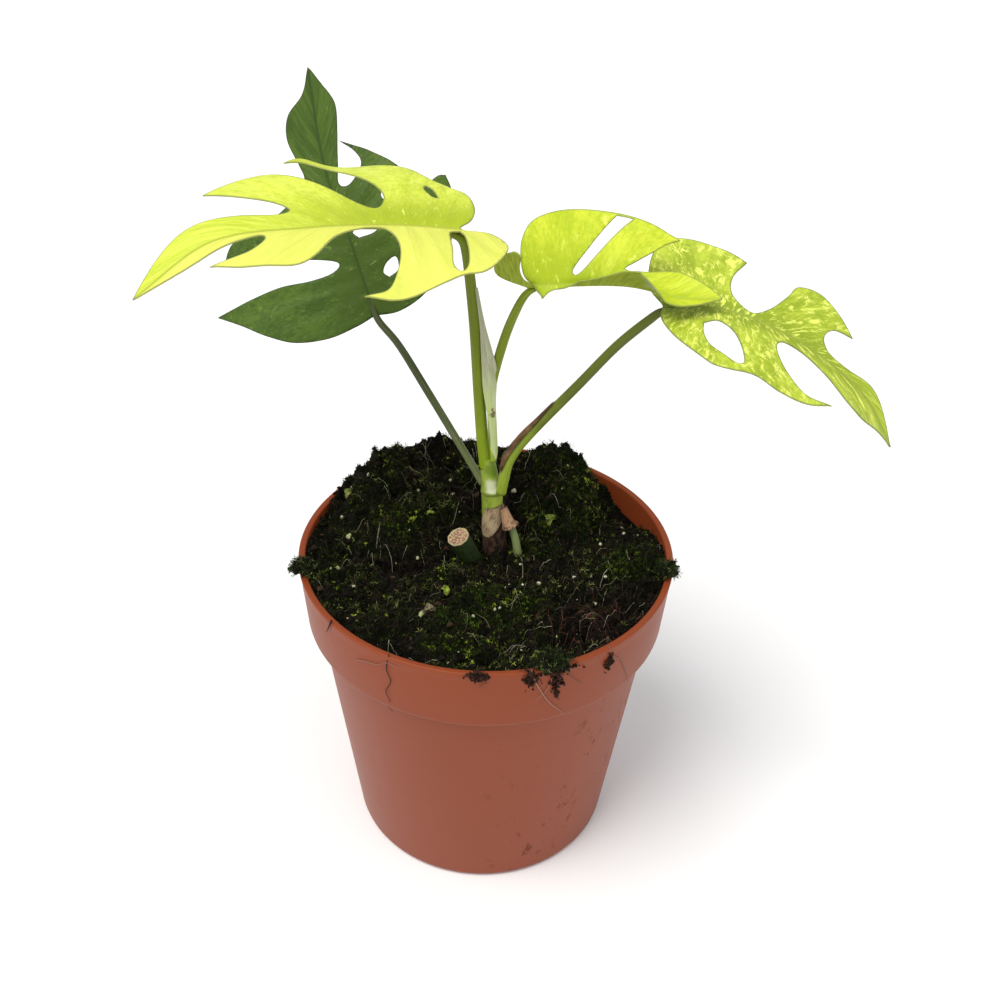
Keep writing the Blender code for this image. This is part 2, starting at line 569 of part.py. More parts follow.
def build_ground():
    moss = (0.08, 0.13, 0.02)
    cushion("moss_front", (0.5, -30), (16, 9), 0.1, 3.2, moss)
    cushion("moss_front_edge", (-8, -46.5), (15, 4.2), 0.15, 2.6, moss)
    cushion("moss_left", (-24, 17), (14, 8), 0.3, 3.0, moss)
    cushion("moss_back_left", (-39, 28), (6.5, 17), 2.51, 6.5, moss)
    cushion("moss_right", (46, -4), (8, 6), 0.9, 3.6, (0.16, 0.25, 0.03))
    cushion("moss_back_right", (25, 22), (14, 12), 0.4, 3.4, moss)
    cushion("peat_back", (-4, 45), (15, 6.5), 0.0, 3.6, (0.02, 0.014, 0.01))
    cushion("peat_back_right", (24, 42), (7.5, 4.5), -0.4, 3.0, (0.02, 0.014, 0.01))
    grains = [(-19, -33, 1.6), (-45, 6, 2.0), (34, -21, 1.7), (17, -46, 1.5), (-47, -9, 1.6), (9, 32, 1.8)]
    for number, (x, y, radius) in enumerate(grains, 1):
        height = soil_height(x, y) + radius + 0.5
        pebble(f"perlite_{number}", (x, y, height), (radius * 1.1, radius, radius * 0.8), number,
               (0.75, 0.74, 0.68))
    crumbs = [("crumb_left", (-56.6, -15, 111.6), (4.6, 3.4, 1.9), 0.3),
              ("crumb_right", (56.8, -13, 111.7), (4.4, 3.4, 2.0), -0.3),
              ("crumb_front", (19.5, -55.0, 111.6), (7.0, 3.2, 1.9), 0.35)]
    for name, place, size, turn in crumbs:
        pebble(name, place, size, turn, (0.03, 0.035, 0.012))


clear_scene()
PLANT = new_collection("potted_monstera_plant")
CUTTERS = new_collection("cutters")
build_pot()
build_stems()
build_soil()
build_sheaths()
build_ground()
build_blades()
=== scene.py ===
# %% [markdown]
# # A young split-leaf monstera in its nursery pot
#
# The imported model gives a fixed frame: a pot, soil, stalks and four leaves at their real size.
# This lesson gives each of them its real surface. Lengths are in millimetres until a mesh is made.

# %% Load the frame
import bmesh
import bpy
import numpy as np
from mathutils import Matrix, Vector


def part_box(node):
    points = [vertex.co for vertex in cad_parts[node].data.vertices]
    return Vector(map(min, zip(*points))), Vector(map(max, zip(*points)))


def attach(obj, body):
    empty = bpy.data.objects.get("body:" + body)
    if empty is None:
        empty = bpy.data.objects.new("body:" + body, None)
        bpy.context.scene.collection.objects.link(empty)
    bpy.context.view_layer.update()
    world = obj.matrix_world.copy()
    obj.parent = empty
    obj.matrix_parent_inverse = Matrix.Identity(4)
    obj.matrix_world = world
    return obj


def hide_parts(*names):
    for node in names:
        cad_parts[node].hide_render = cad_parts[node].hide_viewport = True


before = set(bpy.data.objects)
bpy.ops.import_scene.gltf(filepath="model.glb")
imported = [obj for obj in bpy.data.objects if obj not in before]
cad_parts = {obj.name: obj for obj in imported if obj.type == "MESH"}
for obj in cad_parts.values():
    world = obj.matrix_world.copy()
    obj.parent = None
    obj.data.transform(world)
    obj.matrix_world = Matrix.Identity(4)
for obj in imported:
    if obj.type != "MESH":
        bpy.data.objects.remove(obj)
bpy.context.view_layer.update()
MM = 0.001

# %% [markdown]
# ## Camera, floor and light
#
# The camera looks down on the plant from the front, from about 0.46 m away, and is rolled a
# little. The light is a soft key from above on the left, a weak fill and a pale sky, so that
# the leaves stay bright and the soil keeps its depth.

# %% Camera
CAMERA_PLACE = (0.0, -307.7, 342.9)
LOOK_DOWN = np.radians(35.03)
LOOK_RIGHT = np.radians(0.73)
ROLL = np.radians(1.69)
LENS = 43.2


def aim_camera():
    """The view direction comes from two angles; the roll turns the two image axes about it."""
    ahead = Vector((np.sin(LOOK_RIGHT) * np.cos(LOOK_DOWN), np.cos(LOOK_RIGHT) * np.cos(LOOK_DOWN),
                    -np.sin(LOOK_DOWN)))
    right = ahead.cross(Vector((0, 0, 1))).normalized()
    up = right.cross(ahead)
    turned_right = right * np.cos(ROLL) + up * np.sin(ROLL)
    turned_up = up * np.cos(ROLL) - right * np.sin(ROLL)
    axes = Matrix((turned_right, turned_up, -ahead)).transposed()
    camera = bpy.data.objects.new("camera", bpy.data.cameras.new("camera"))
    bpy.context.scene.collection.objects.link(camera)
    camera.data.lens = LENS
    camera.data.clip_start = 0.01
    camera.matrix_world = Matrix.Translation(Vector(CAMERA_PLACE) * MM) @ axes.to_4x4()
    bpy.context.scene.camera = camera
    return camera


camera = aim_camera()
bpy.context.scene.view_settings.view_transform = "Standard"
print("camera at", [round(c, 3) for c in camera.location])

# %% Lights
LIGHTS = [
    ("key_light", (-0.5, -0.42, 1.25), 2.3, 0.6, (1.0, 0.985, 0.95)),
    ("fill_light", (0.7, -0.8, 0.8), 0.5, 1.1, (0.96, 0.98, 1.0)),
]


def add_light(name, place, strength, softness, colour):
    """A distant light seen from the given direction; softness is its apparent width in radians."""
    lamp = bpy.data.lights.new(name, "SUN")
    lamp.angle = softness
    lamp.energy = strength
    lamp.color = colour
    light = bpy.data.objects.new(name, lamp)
    bpy.context.scene.collection.objects.link(light)
    light.location = place
    light.rotation_euler = (-Vector(place)).to_track_quat("-Z", "Y").to_euler()
    return light


lights = [add_light(*row) for row in LIGHTS]
world = bpy.data.worlds.new("sky")
bpy.context.scene.world = world
world.use_nodes = True
SKY_STRENGTH = 0.55
SKY_SEEN_EXTRA = 0.6
backdrop = world.node_tree.nodes["Background"]
backdrop.inputs["Color"].default_value = (0.97, 0.98, 1.0, 1.0)
# The camera sees a white sky past the floor's edge, while the plant is lit by a dimmer one.
seen = world.node_tree.nodes.new("ShaderNodeLightPath").outputs["Is Camera Ray"]
strength = world.node_tree.nodes.new("ShaderNodeMath")
strength.operation = "MULTIPLY_ADD"
world.node_tree.links.new(seen, strength.inputs[0])
strength.inputs[1].default_value = SKY_SEEN_EXTRA
strength.inputs[2].default_value = SKY_STRENGTH
world.node_tree.links.new(strength.outputs[0], backdrop.inputs["Strength"])
print("lights", [light.name for light in lights])

# %% [markdown]
# ## Shader maths as plain expressions
#
# A finish is easier to read when its maths looks like maths. `Value` wraps a socket, and its
# operators add Math nodes. `Finish` holds one material, and its `node` method adds any other
# node: the settings are set first, then the inputs, each a number, a colour or a link.

# %% Shader helpers


class Value:
    """One output socket, with the operators that the finishes use."""

    def __init__(self, finish, socket):
        self.finish = finish
        self.socket = socket

    def maths(self, operation, first, second, clamp=False):
        return self.finish.node("ShaderNodeMath", {"operation": operation, "use_clamp": clamp},
                                {0: first, 1: second})

    def __add__(self, other):
        return self.maths("ADD", self, other)

    def __sub__(self, other):
        return self.maths("SUBTRACT", self, other)

    def __rsub__(self, other):
        return self.maths("SUBTRACT", other, self)

    def __mul__(self, other):
        return self.maths("MULTIPLY", self, other)

    def __truediv__(self, other):
        return self.maths("DIVIDE", self, other)

    __radd__ = __add__
    __rmul__ = __mul__

    def clamp(self):
        return self.maths("ADD", self, 0.0, clamp=True)

    def step(self, low, high):
        """0 below low, 1 above high and a smooth rise between; low may be above high."""
        return self.finish.node("ShaderNodeMapRange", {"interpolation_type": "SMOOTHSTEP"},
                                {"Value": self, "From Min": low, "From Max": high})

    def absolute(self):
        return self.maths("ABSOLUTE", self, 0.0)

    def fraction(self):
        return self.maths("FRACT", self, 0.0)


class Finish:
    """One material, built up node by node."""

    def __init__(self, name, roughness=0.5, **constants):
        """Constants are other sockets of the shader, with underscores for the spaces."""
        self.material = bpy.data.materials.new(name)
        self.material.use_nodes = True
        self.tree = self.material.node_tree
        self.shader = self.tree.nodes["Principled BSDF"]
        self.shader.inputs["Roughness"].default_value = roughness
        for socket, amount in constants.items():
            self.shader.inputs[socket.replace("_", " ")].default_value = amount

    def put(self, socket, thing):
        """Set a socket to a number or a colour, or link a Value to it."""
        if isinstance(thing, Value):
            self.tree.links.new(thing.socket, socket)
        elif isinstance(thing, tuple) and socket.type == "RGBA" and len(thing) == 3:
            socket.default_value = (*thing, 1.0)
        else:
            socket.default_value = thing

    def node(self, kind, settings=None, inputs=None, output=0):
        """Add a node of any kind and give back one of its outputs."""
        made = self.tree.nodes.new(kind)
        for name, setting in (settings or {}).items():
            setattr(made, name, setting)
        for name, thing in (inputs or {}).items():
            self.put(made.inputs[name], thing)
        return Value(self, made.outputs[output])

    def position(self):
        return self.node("ShaderNodeTexCoord", output="Object")

    def layer(self, name):
        """A value stored on the mesh's points."""
        return self.node("ShaderNodeAttribute", {"attribute_name": name}, output="Fac")

    def part(self, vector, axis):
        """One part of a vector, by its letter."""
        return self.node("ShaderNodeSeparateXYZ", None, {0: vector}, output=axis)

    def scaled(self, vector, amounts):
        return self.node("ShaderNodeVectorMath", {"operation": "MULTIPLY"}, {0: vector, 1: amounts})

    def noise(self, vector, scale, detail=3.0, roughness=0.55, distortion=0.0):
        return self.node("ShaderNodeTexNoise", None,
                         {"Vector": vector, "Scale": scale, "Detail": detail,
                          "Roughness": roughness, "Distortion": distortion})

    def mix(self, amount, first, second):
        """A colour between two colours."""
        made = self.tree.nodes.new("ShaderNodeMix")
        made.data_type = "RGBA"
        self.put(made.inputs[0], amount)
        self.put(made.inputs[6], first)
        self.put(made.inputs[7], second)
        return Value(self, made.outputs[2])

    def colour(self, thing):
        self.put(self.shader.inputs["Base Color"], thing)

    def alpha(self, thing):
        self.put(self.shader.inputs["Alpha"], thing)

    def roughness(self, thing):
        self.put(self.shader.inputs["Roughness"], thing)

    def bump(self, height, distance, strength=1.0):
        """Relief of the given depth in metres."""
        relief = self.node("ShaderNodeBump", None,
                           {"Height": height, "Distance": distance, "Strength": strength})
        self.put(self.shader.inputs["Normal"], relief)


print("shader helpers ready")

# %% [markdown]
# ## Meshes from whole arrays
#
# Most pieces are a grid of points worked out at once. A grid can close on itself, as a tube
# does, and its ends can be capped. Values stored on the points carry patterns to the finish.

# %% Mesh helpers
pieces = {}


def add_piece(name, mesh, finishes, nodes=(), layers=None):
    """Link one piece, give it its finishes, and tie it to the frame."""
    for layer, values in (layers or {}).items():
        mesh.attributes.new(layer, "FLOAT", "POINT").data.foreach_set("value", np.ravel(values))
    piece = bpy.data.objects.new(name, mesh)
    bpy.context.scene.collection.objects.link(piece)
    for finish in finishes:
        mesh.materials.append(finish.material)
    mesh.shade_smooth()
    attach(piece, "root")
    if nodes:
        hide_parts(*nodes)
    pieces[name] = piece
    return piece


def grid_faces(rows, columns, wrap, start=0):
    """Quads of a grid whose points run along each row in turn; wrap joins its last column."""
    across = columns if wrap else columns - 1
    i, j = np.meshgrid(np.arange(rows - 1), np.arange(across), indexing="ij")
    n = (j + 1) % columns
    quads = np.stack([i * columns + j, i * columns + n, (i + 1) * columns + n,
                      (i + 1) * columns + j], axis=-1)
    return quads.reshape(-1, 4) + start


def make_mesh(name, points, faces):
    """A mesh from an array of points in millimetres and lists of faces."""
    mesh = bpy.data.meshes.new(name)
    mesh.from_pydata((np.asarray(points).reshape(-1, 3) * MM).tolist(), [],
                     [list(map(int, face)) for face in faces])
    return mesh


def capped(rows, columns):
    """Faces of a closed tube grid with a flat face at each end."""
    faces = [tuple(face) for face in grid_faces(rows, columns, True)]
    faces.append(tuple(range(columns))[::-1])
    faces.append(tuple(range((rows - 1) * columns, rows * columns)))
    return faces


def spline_through(points, samples=12):
    """Catmull-Rom curve: passes through every point, with its end points mirrored."""
    points = np.asarray(points, float)
    guard = np.vstack([2 * points[0] - points[1], points, 2 * points[-1] - points[-2]])
    t = np.linspace(0.0, 1.0, samples, endpoint=False)[:, None]
    stretches = []
    for a, b, c, d in zip(guard, guard[1:], guard[2:], guard[3:]):
        stretches.append(0.5 * (2 * b + (c - a) * t + (2 * a - 5 * b + 4 * c - d) * t**2
                                + (3 * b - a - 3 * c + d) * t**3))
    return np.vstack(stretches + [points[-1:]])


def evenly(points, count):
    """The same line with this many points, equally far apart."""
    length = np.concatenate([[0.0], np.cumsum(np.linalg.norm(np.diff(points[:, :3], axis=0), axis=1))])
    at = np.linspace(0.0, length[-1], count)
    return np.stack([np.interp(at, length, column) for column in points.T], axis=1)


def route_axes(route, reference):
    """The direction of a route at each point, and two axes square to it."""
    ahead = np.gradient(route, axis=0)
    ahead /= np.linalg.norm(ahead, axis=1)[:, None]
    side = np.cross(ahead, reference)
    side /= np.linalg.norm(side, axis=1)[:, None]
    return ahead, side, np.cross(side, ahead)


def hashed(cells, seed):
    """A fixed random number from 0 to 1 for each lattice cell."""
    mixed = (cells[..., 0] * 73856093) ^ (cells[..., 1] * 19349663) ^ (cells[..., 2] * 83492791)
    mixed = (mixed + seed * 1013904223) & 0xFFFFFFFF
    mixed = ((mixed ^ (mixed >> 15)) * 2246822519) & 0xFFFFFFFF
    mixed = ((mixed ^ (mixed >> 13)) * 3266489917) & 0xFFFFFFFF
    return (mixed ^ (mixed >> 16)) / 4294967296.0


def value_noise(points, size, seed=0):
    """Smooth noise from -1 to 1: random lattice values, blended over the cell they surround."""
    scaled = np.asarray(points, float) / size
    cell = np.floor(scaled).astype(np.int64)
    part = scaled - cell
    part = part * part * (3.0 - 2.0 * part)
    total = 0.0
    for corner in np.ndindex(2, 2, 2):
        offset = np.array(corner)
        weight = np.prod(np.where(offset == 1, part, 1.0 - part), axis=-1)
        total = total + weight * hashed(cell + offset, seed)
    return 2.0 * total - 1.0


def layered_noise(points, size, octaves, seed=0):
    """Noise with finer and weaker layers on top of it."""
    return sum(0.5**k * value_noise(points, size / 2.0**k, seed + k) for k in range(octaves))


print("mesh helpers ready")

# %% [markdown]
# ## The floor
#
# A plain pale sheet, far larger than the plant. It isn't part of the object.

# %% Floor
FLOOR_REACH = 20000.0


def build_floor():
    """One square whose edge is too far off to be seen."""
    corners = [(-FLOOR_REACH, -FLOOR_REACH, 0), (FLOOR_REACH, -FLOOR_REACH, 0),
               (FLOOR_REACH, FLOOR_REACH, 0), (-FLOOR_REACH, FLOOR_REACH, 0)]
    finish = Finish("pale_floor", 0.8)
    finish.colour((0.93, 0.93, 0.93))
    mesh = make_mesh("floor", corners, [(0, 1, 2, 3)])
    mesh.materials.append(finish.material)
    floor = bpy.data.objects.new("floor", mesh)
    bpy.context.scene.collection.objects.link(floor)


build_floor()
print("floor ready")

# %% [markdown]
# ## The pot
#
# A thin moulded shell of terracotta-coloured plastic. It is a turned shape, so one profile is
# carried round the axis. Its corners are small arcs, as in the mould. The plastic is satin, with
# a very fine grain, faint flow marks round the body, and smears of dried soil low on one side.

# %% Pot sizes
RIM_RADIUS = 60.0
POT_HEIGHT = 109.0
BASE_RADIUS = 44.3
NECK_RADIUS = 54.4
NECK_HEIGHT = POT_HEIGHT - 22.8
LIP_DEPTH = 3.6
WALL = 1.4
DRAIN_CIRCLE = 26.5
DRAIN_RADIUS = 3.6
FLOOR_INNER = 19.0
FLOOR_OUTER = 34.0
FLOOR_UNDER = 2.0
FLOOR_OVER = 3.4
FOOT_OVER = 1.5
SEGMENTS = 256


def rounded(profile, steps=5):
    """A profile whose marked corners become arcs. Each row is (radius, height, corner size)."""
    points = np.array([(r, z) for r, z, _ in profile], float)
    line = []
    for index, (r, z, size) in enumerate(profile):
        corner = points[index]
        if size == 0:
            line.append(corner)
            continue
        back = points[index - 1] - corner
        onward = points[index + 1] - corner
        start = corner + back / np.linalg.norm(back) * size
        end = corner + onward / np.linalg.norm(onward) * size
        t = np.linspace(0.0, 1.0, steps)[:, None]
        line.extend((1 - t)**2 * start + 2 * t * (1 - t) * corner + t**2 * end)
    return np.array(line)


def turned_grid(profile, segments):
    """Points of a profile carried round the axis; the profile runs down its outer side."""
    angle = np.linspace(0.0, 2 * np.pi, segments, endpoint=False)
    radius, height = profile[:, :1], profile[:, 1:]
    return np.stack([radius * np.cos(angle), radius * np.sin(angle),
                     height + 0 * angle], axis=-1)


# %% Pot shell
def unit(angle):
    return np.stack([np.cos(angle), np.sin(angle)], axis=-1)


def floor_eighth(number):
    """An eighth of the floor with its drain hole. Rows run in from the edge on the underside,
    up through the hole and out again on top: point = (1 - b) x hole + b x edge."""
    first, last = number * np.pi / 4, (number + 1) * np.pi / 4
    arc = np.arange(SEGMENTS // 8) * 2 * np.pi / SEGMENTS
    side = np.linspace(FLOOR_INNER, FLOOR_OUTER, 6, endpoint=False)[:, None]
    edge = np.concatenate([FLOOR_INNER * unit(first + arc), side * unit(last),
                           FLOOR_OUTER * unit(last - arc),
                           (FLOOR_INNER + FLOOR_OUTER - side) * unit(first)])
    middle = DRAIN_CIRCLE * unit((first + last) / 2)
    heading = edge - middle
    hole = middle + DRAIN_RADIUS * heading / np.linalg.norm(heading, axis=1)[:, None]
    rows = []
    for b, height in [(1.0, FLOOR_UNDER), (0.5, FLOOR_UNDER), (0.06, FLOOR_UNDER),
                      (0.0, FLOOR_UNDER + 0.15), (0.0, FLOOR_OVER - 0.15), (0.06, FLOOR_OVER),
                      (0.5, FLOOR_OVER), (1.0, FLOOR_OVER)]:
        flat = (1 - b) * hole + b * edge
        rows.append(np.column_stack([flat, np.full(len(flat), height)]))
    return np.array(rows)


def build_pot():
    """The shell: up the inner wall, over the lip, down to the foot; then the middle; then the floor."""
    shell = rounded([
        (FLOOR_OUTER, FLOOR_OVER, 0), (FLOOR_OUTER + 0.4, FLOOR_OVER, 0.2),
        (FLOOR_OUTER + 1.8, FOOT_OVER, 0.4), (BASE_RADIUS - 1.9, FOOT_OVER, 1.6),
        (NECK_RADIUS - WALL, NECK_HEIGHT + 1.2, 0.5), (RIM_RADIUS - 3.5, NECK_HEIGHT + 2.4, 0.7),
        (RIM_RADIUS - 2.2, POT_HEIGHT - 0.2, 0.5), (RIM_RADIUS - 1.2, POT_HEIGHT, 0.4),
        (RIM_RADIUS, POT_HEIGHT, 0.7), (RIM_RADIUS - 0.5, POT_HEIGHT - LIP_DEPTH, 0.8),
        (RIM_RADIUS - 1.9, NECK_HEIGHT, 1.7), (NECK_RADIUS + 0.1, NECK_HEIGHT - 0.4, 1.7),
        (BASE_RADIUS - 0.2, 0.0, 2.6), (FLOOR_OUTER + 1.0, 0.0, 0.4),
        (FLOOR_OUTER + 0.2, FLOOR_UNDER, 0.15), (FLOOR_OUTER, FLOOR_UNDER, 0)])
    middle = rounded([
        (FLOOR_INNER, FLOOR_UNDER, 0), (FLOOR_INNER - 0.2, FLOOR_UNDER, 0.1),
        (FLOOR_INNER - 1.0, 0.0, 0.4), (4.0, 0.0, 0.5),
        (3.4, 0.6, 0.2), (0.05, 0.6, 0), (0.05, 1.9, 0), (FLOOR_INNER - 2.0, 1.9, 0.4),
        (FLOOR_INNER - 0.4, FLOOR_OVER, 0.3), (FLOOR_INNER, FLOOR_OVER, 0)])
    points, faces, start = [], [], 0
    for grid in [turned_grid(shell, SEGMENTS), turned_grid(middle, SEGMENTS)]:
        points.append(grid.reshape(-1, 3))
        faces.extend(tuple(face)[::-1] for face in grid_faces(len(grid), SEGMENTS, True, start))
        start += grid[..., 0].size
    for number in range(8):
        grid = floor_eighth(number)
        points.append(grid.reshape(-1, 3))
        faces.extend(tuple(face) for face in grid_faces(*grid.shape[:2], True, start))
        start += grid[..., 0].size
    mesh = make_mesh("pot_shell", np.concatenate(points), faces)
    return add_piece("pot_shell", mesh, [pot_finish()], ["pot"])


def pot_finish():
    """Soft clouds in the colour, specks of soil all over, and dried smears low on the right."""
    finish = Finish("terracotta_plastic", 0.42, Specular_IOR_Level=0.22)
    place = finish.position()
    cloud = finish.noise(place, 18.0, 3.0)
    grain = finish.noise(place, 2600.0, 2.0)
    flow = finish.noise(finish.scaled(place, (12.0, 12.0, 420.0)), 1.0, 3.0)
    body = finish.mix(cloud, (0.232, 0.044, 0.011), (0.268, 0.054, 0.016))
    height = finish.part(place, "Z")
    smear = finish.noise(finish.scaled(place, (1.0, 1.0, 0.45)), 230.0, 6.0, 0.75).step(0.56, 0.66)
    patch = finish.noise(place, 60.0, 2.0).step(0.42, 0.56)
    side = finish.part(place, "X").step(-0.006, 0.02) * height.step(0.088, 0.06)
    specks = finish.noise(place, 620.0, 2.0).step(0.74, 0.78) * finish.noise(place, 50.0, 2.0).step(0.45, 0.6)
    dirt = (smear * side * patch * 0.8 + specks * 0.7).clamp()
    finish.colour(finish.mix(dirt * 0.7, body, (0.035, 0.014, 0.008)))
    finish.roughness(0.38 + 0.12 * cloud + 0.35 * dirt)
    finish.bump(grain * 0.35 + flow * 0.65, 0.00012, 0.6)
    return finish


build_pot()
print("pot shell", len(pieces["pot_shell"].data.polygons), "faces")

# %% [markdown]
# ## The soil
#
# Damp peat with bark, roots and moss, heaped a little above the rim at the back. The surface is
# a height field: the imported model's low mound, the cushions that lie on it, and clods of
# several sizes. Crumbs, fibres, grains of perlite and moss are scattered over it from one
# fixed seed.

# %% Height of the soil
SOIL_LEVEL = 105.0
SOIL_RADIUS = 57.3
# Centre, radii, turn, height and how mossy, for each cushion on the soil.
CUSHIONS = [
    ((0.5, -30), (19, 11), 0.1, 4.0, 1.0), ((-8, -46.5), (16, 5.5), 0.15, 3.4, 0.75),
    ((-24, 17), (16, 9), 0.3, 4.0, 0.8), ((-39, 28), (9, 19), 2.51, 7.5, 0.55),
    ((46, -4), (11, 9), 0.9, 4.6, 1.0), ((26, 23), (17, 14), 0.4, 4.4, 0.85),
    ((-4, 46), (17, 9), 0.0, 3.4, 0.35), ((24, 43), (13, 8), -0.5, 6.2, 0.7),
    ((-46, -12), (9, 15), 0.1, 2.2, 0.5), ((15, 1), (10, 8), 0.0, 1.4, 0.9),
    ((-13, -13), (9, 6), 0.3, 1.4, 0.6), ((-30, -34), (12, 9), 0.4, 1.8, 0.45),
]
# Bare places: the hollow beside the stump, the patch of brown roots in front on the right and
# a spot behind the stem.
BARE = [((-24, -6), (11, 7), 0.1), ((33, -34), (14, 11), 0.7), ((-2, 26), (12, 9), 0.0)]


def oval(x, y, centre, radii, turn):
    """Squared distance from a centre, as a share of the oval's radii; 1 on its edge."""
    dx, dy = x - centre[0], y - centre[1]
    along = (dx * np.cos(turn) + dy * np.sin(turn)) / radii[0]
    across = (dy * np.cos(turn) - dx * np.sin(turn)) / radii[1]
    return along**2 + across**2


def soil_base(x, y):
    """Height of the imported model's soil over (x, y), filled up to the rim near the wall."""
    def bump(height, x0, y0, spread):
        return height * np.exp(-((x - x0)**2 + (y - y0)**2) / spread**2)
    mound = bump(6.0, -22.0, 34.0, 26.0) + bump(5.0, 22.0, 36.0, 15.0) + bump(2.5, 0.0, -14.0, 18.0)
    hollow = bump(8.0, 48.0, 27.0, 11.0) + bump(7.0, -25.0, -4.0, 8.0)
    lumps = 0.5 * np.sin(x / 5.1 + 0.6) * np.cos(y / 5.7 - 0.4)
    return SOIL_LEVEL + 0.8 + mound - hollow + lumps


def heaped(x, y):
    """Soil heaped on the rim: a ridge along the wall, high at the back and low in front."""
    angle = np.arctan2(y, x)
    back = np.clip((y - 22.0) / 14.0, 0.0, 1.0) * np.clip((38.0 - x) / 7.0, 0.0, 1.0)
    front = np.clip((14.0 - y) / 20.0, 0.0, 1.0)
    wander = 1.0 + 0.22 * np.sin(7 * angle + 1.0) + 0.16 * np.sin(17 * angle)
    ridge = np.exp(-((np.hypot(x, y) - 55.5) / 5.5)**2)
    return ridge * wander * (5.4 * back + 1.9 * front)


def moss_cover(x, y):
    """How mossy a spot is, from 0 to 1, and how much its cushion raises it."""
    flat = np.stack([x, y, 0 * x], axis=-1)
    ragged = 0.45 * layered_noise(flat, 6.0, 3, 11)
    cover = 0.25 + 0.2 * layered_noise(flat, 9.0, 3, 12)
    lift = np.zeros_like(x)
    for centre, radii, turn, height, mossy in CUSHIONS:
        dome = np.clip(1.1 - oval(x, y, centre, radii, turn) + ragged, 0.0, 1.0)
        cover = np.maximum(cover, mossy * np.clip(1.8 * dome, 0.0, 1.0))
        lift = np.maximum(lift, height * dome**0.7)
    for centre, radii, turn in BARE:
        cover = cover * np.clip(oval(x, y, centre, radii, turn) + ragged - 0.35, 0.04, 1.0)
    return np.clip(cover, 0.0, 1.0), lift


def soil_height(x, y):
    """The whole surface: mound, cushions, then clods with round tops and sharp gaps."""
    flat = np.stack([x, y, 0 * x], axis=-1)
    clods = 1.0 - np.abs(layered_noise(flat, 6.0, 3, 21)) * 2.2
    small = 1.0 - np.abs(value_noise(flat, 2.0, 31)) * 2.0
    grit = value_noise(flat, 0.8, 41)
    cover, lift = moss_cover(x, y)
    rough = 2.4 * clods + 0.9 * small + 0.3 * grit - 1.6
    inside = np.clip((SOIL_RADIUS + 0.4 - np.hypot(x, y)) / 2.0, 0.25, 1.0)
    return soil_base(x, y) + lift + heaped(x, y) + rough * (1.0 - 0.3 * cover) * inside


# %% Soil surface
def build_soil():
    """Rings of points from the middle outwards at the surface's height, then down the inner wall."""
    rings = np.linspace(0.0, SOIL_RADIUS, 210)
    angle = np.linspace(0.0, 2 * np.pi, 460, endpoint=False)
    radius = rings[:, None] + 0 * angle
    x, y = radius * np.cos(angle), radius * np.sin(angle)
    top = np.stack([x, y, soil_height(x, y)], axis=-1)
    wall = []
    for level, reach in [(101.0, 56.2), (90.0, 55.0), (86.0, 52.2), (8.0, 42.6), (4.2, 40.0), (4.2, 0.05)]:
        wall.append(np.stack([reach * np.cos(angle), reach * np.sin(angle), level + 0 * angle], axis=-1))
    points = np.concatenate([top, np.array(wall)])
    faces = grid_faces(len(points), len(angle), True)
    mesh = make_mesh("soil_surface", points, faces)
    cover = np.concatenate([moss_cover(x, y)[0], np.zeros((len(wall), len(angle)))])
    return add_piece("soil_surface", mesh, [soil_finish()], ["soil"], {"moss": cover})


def soil_finish():
    """Near-black peat with brown crumbs, and dark green where the moss layer is high."""
    finish = Finish("damp_peat", 0.9, Specular_IOR_Level=0.08)
    place = finish.position()
    coarse = finish.noise(place, 190.0, 4.0, 0.65)
    fine = finish.noise(place, 1100.0, 4.0, 0.7)
    peat = finish.mix(coarse.step(0.4, 0.75), (0.0025, 0.002, 0.0016), (0.014, 0.009, 0.006))
    peat = finish.mix(fine.step(0.64, 0.74) * 0.6, peat, (0.07, 0.042, 0.024))
    green = finish.mix(fine.step(0.4, 0.7), (0.003, 0.006, 0.001), (0.02, 0.036, 0.005))
    finish.colour(finish.mix(finish.layer("moss"), peat, green))
    finish.bump(fine + coarse, 0.001, 0.9)
    return finish


build_soil()
print("soil", len(pieces["soil_surface"].data.polygons), "faces")

# %% [markdown]
# ## What is scattered on the soil
#
# Many small things share one mesh: a small template shape is turned, stretched and placed many
# times by one array product. Each copy also carries a random tone, so that no two look alike.

# %% Scatter helpers
chance = np.random.default_rng(7)


def turns(count, tilt):
    """Random turns about the vertical and a random lean up to the given angle, as matrices."""
    spin = chance.uniform(0, 2 * np.pi, count)
    lean = chance.uniform(-tilt, tilt, count)
    toward = chance.uniform(0, 2 * np.pi, count)
    c, s = np.cos(spin), np.sin(spin)
    zero, one = np.zeros(count), np.ones(count)
    upright = np.stack([c, -s, zero, s, c, zero, zero, zero, one], -1).reshape(-1, 3, 3)
    ax, ay = np.cos(toward), np.sin(toward)
    cl, sl = np.cos(lean), np.sin(lean)
    tip = np.stack([cl + ax * ax * (1 - cl), ax * ay * (1 - cl), ay * sl,
                    ax * ay * (1 - cl), cl + ay * ay * (1 - cl), -ax * sl,
                    -ay * sl, ax * sl, cl], -1).reshape(-1, 3, 3)
    return tip @ upright


def scattered(name, template, faces, places, sizes, matrices, tones):
    """Copies of a template: point = turn x (size x template point) + place."""
    shaped = template[None] * sizes[:, None, :]
    points = np.einsum("nij,nkj->nki", matrices, shaped) + places[:, None, :]
    start = np.arange(len(places))[:, None, None] * len(template)
    all_faces = (np.asarray(faces)[None] + start).reshape(-1, len(faces[0]))
    mesh = make_mesh(name, points, all_faces)
    return mesh, np.repeat(tones, len(template))


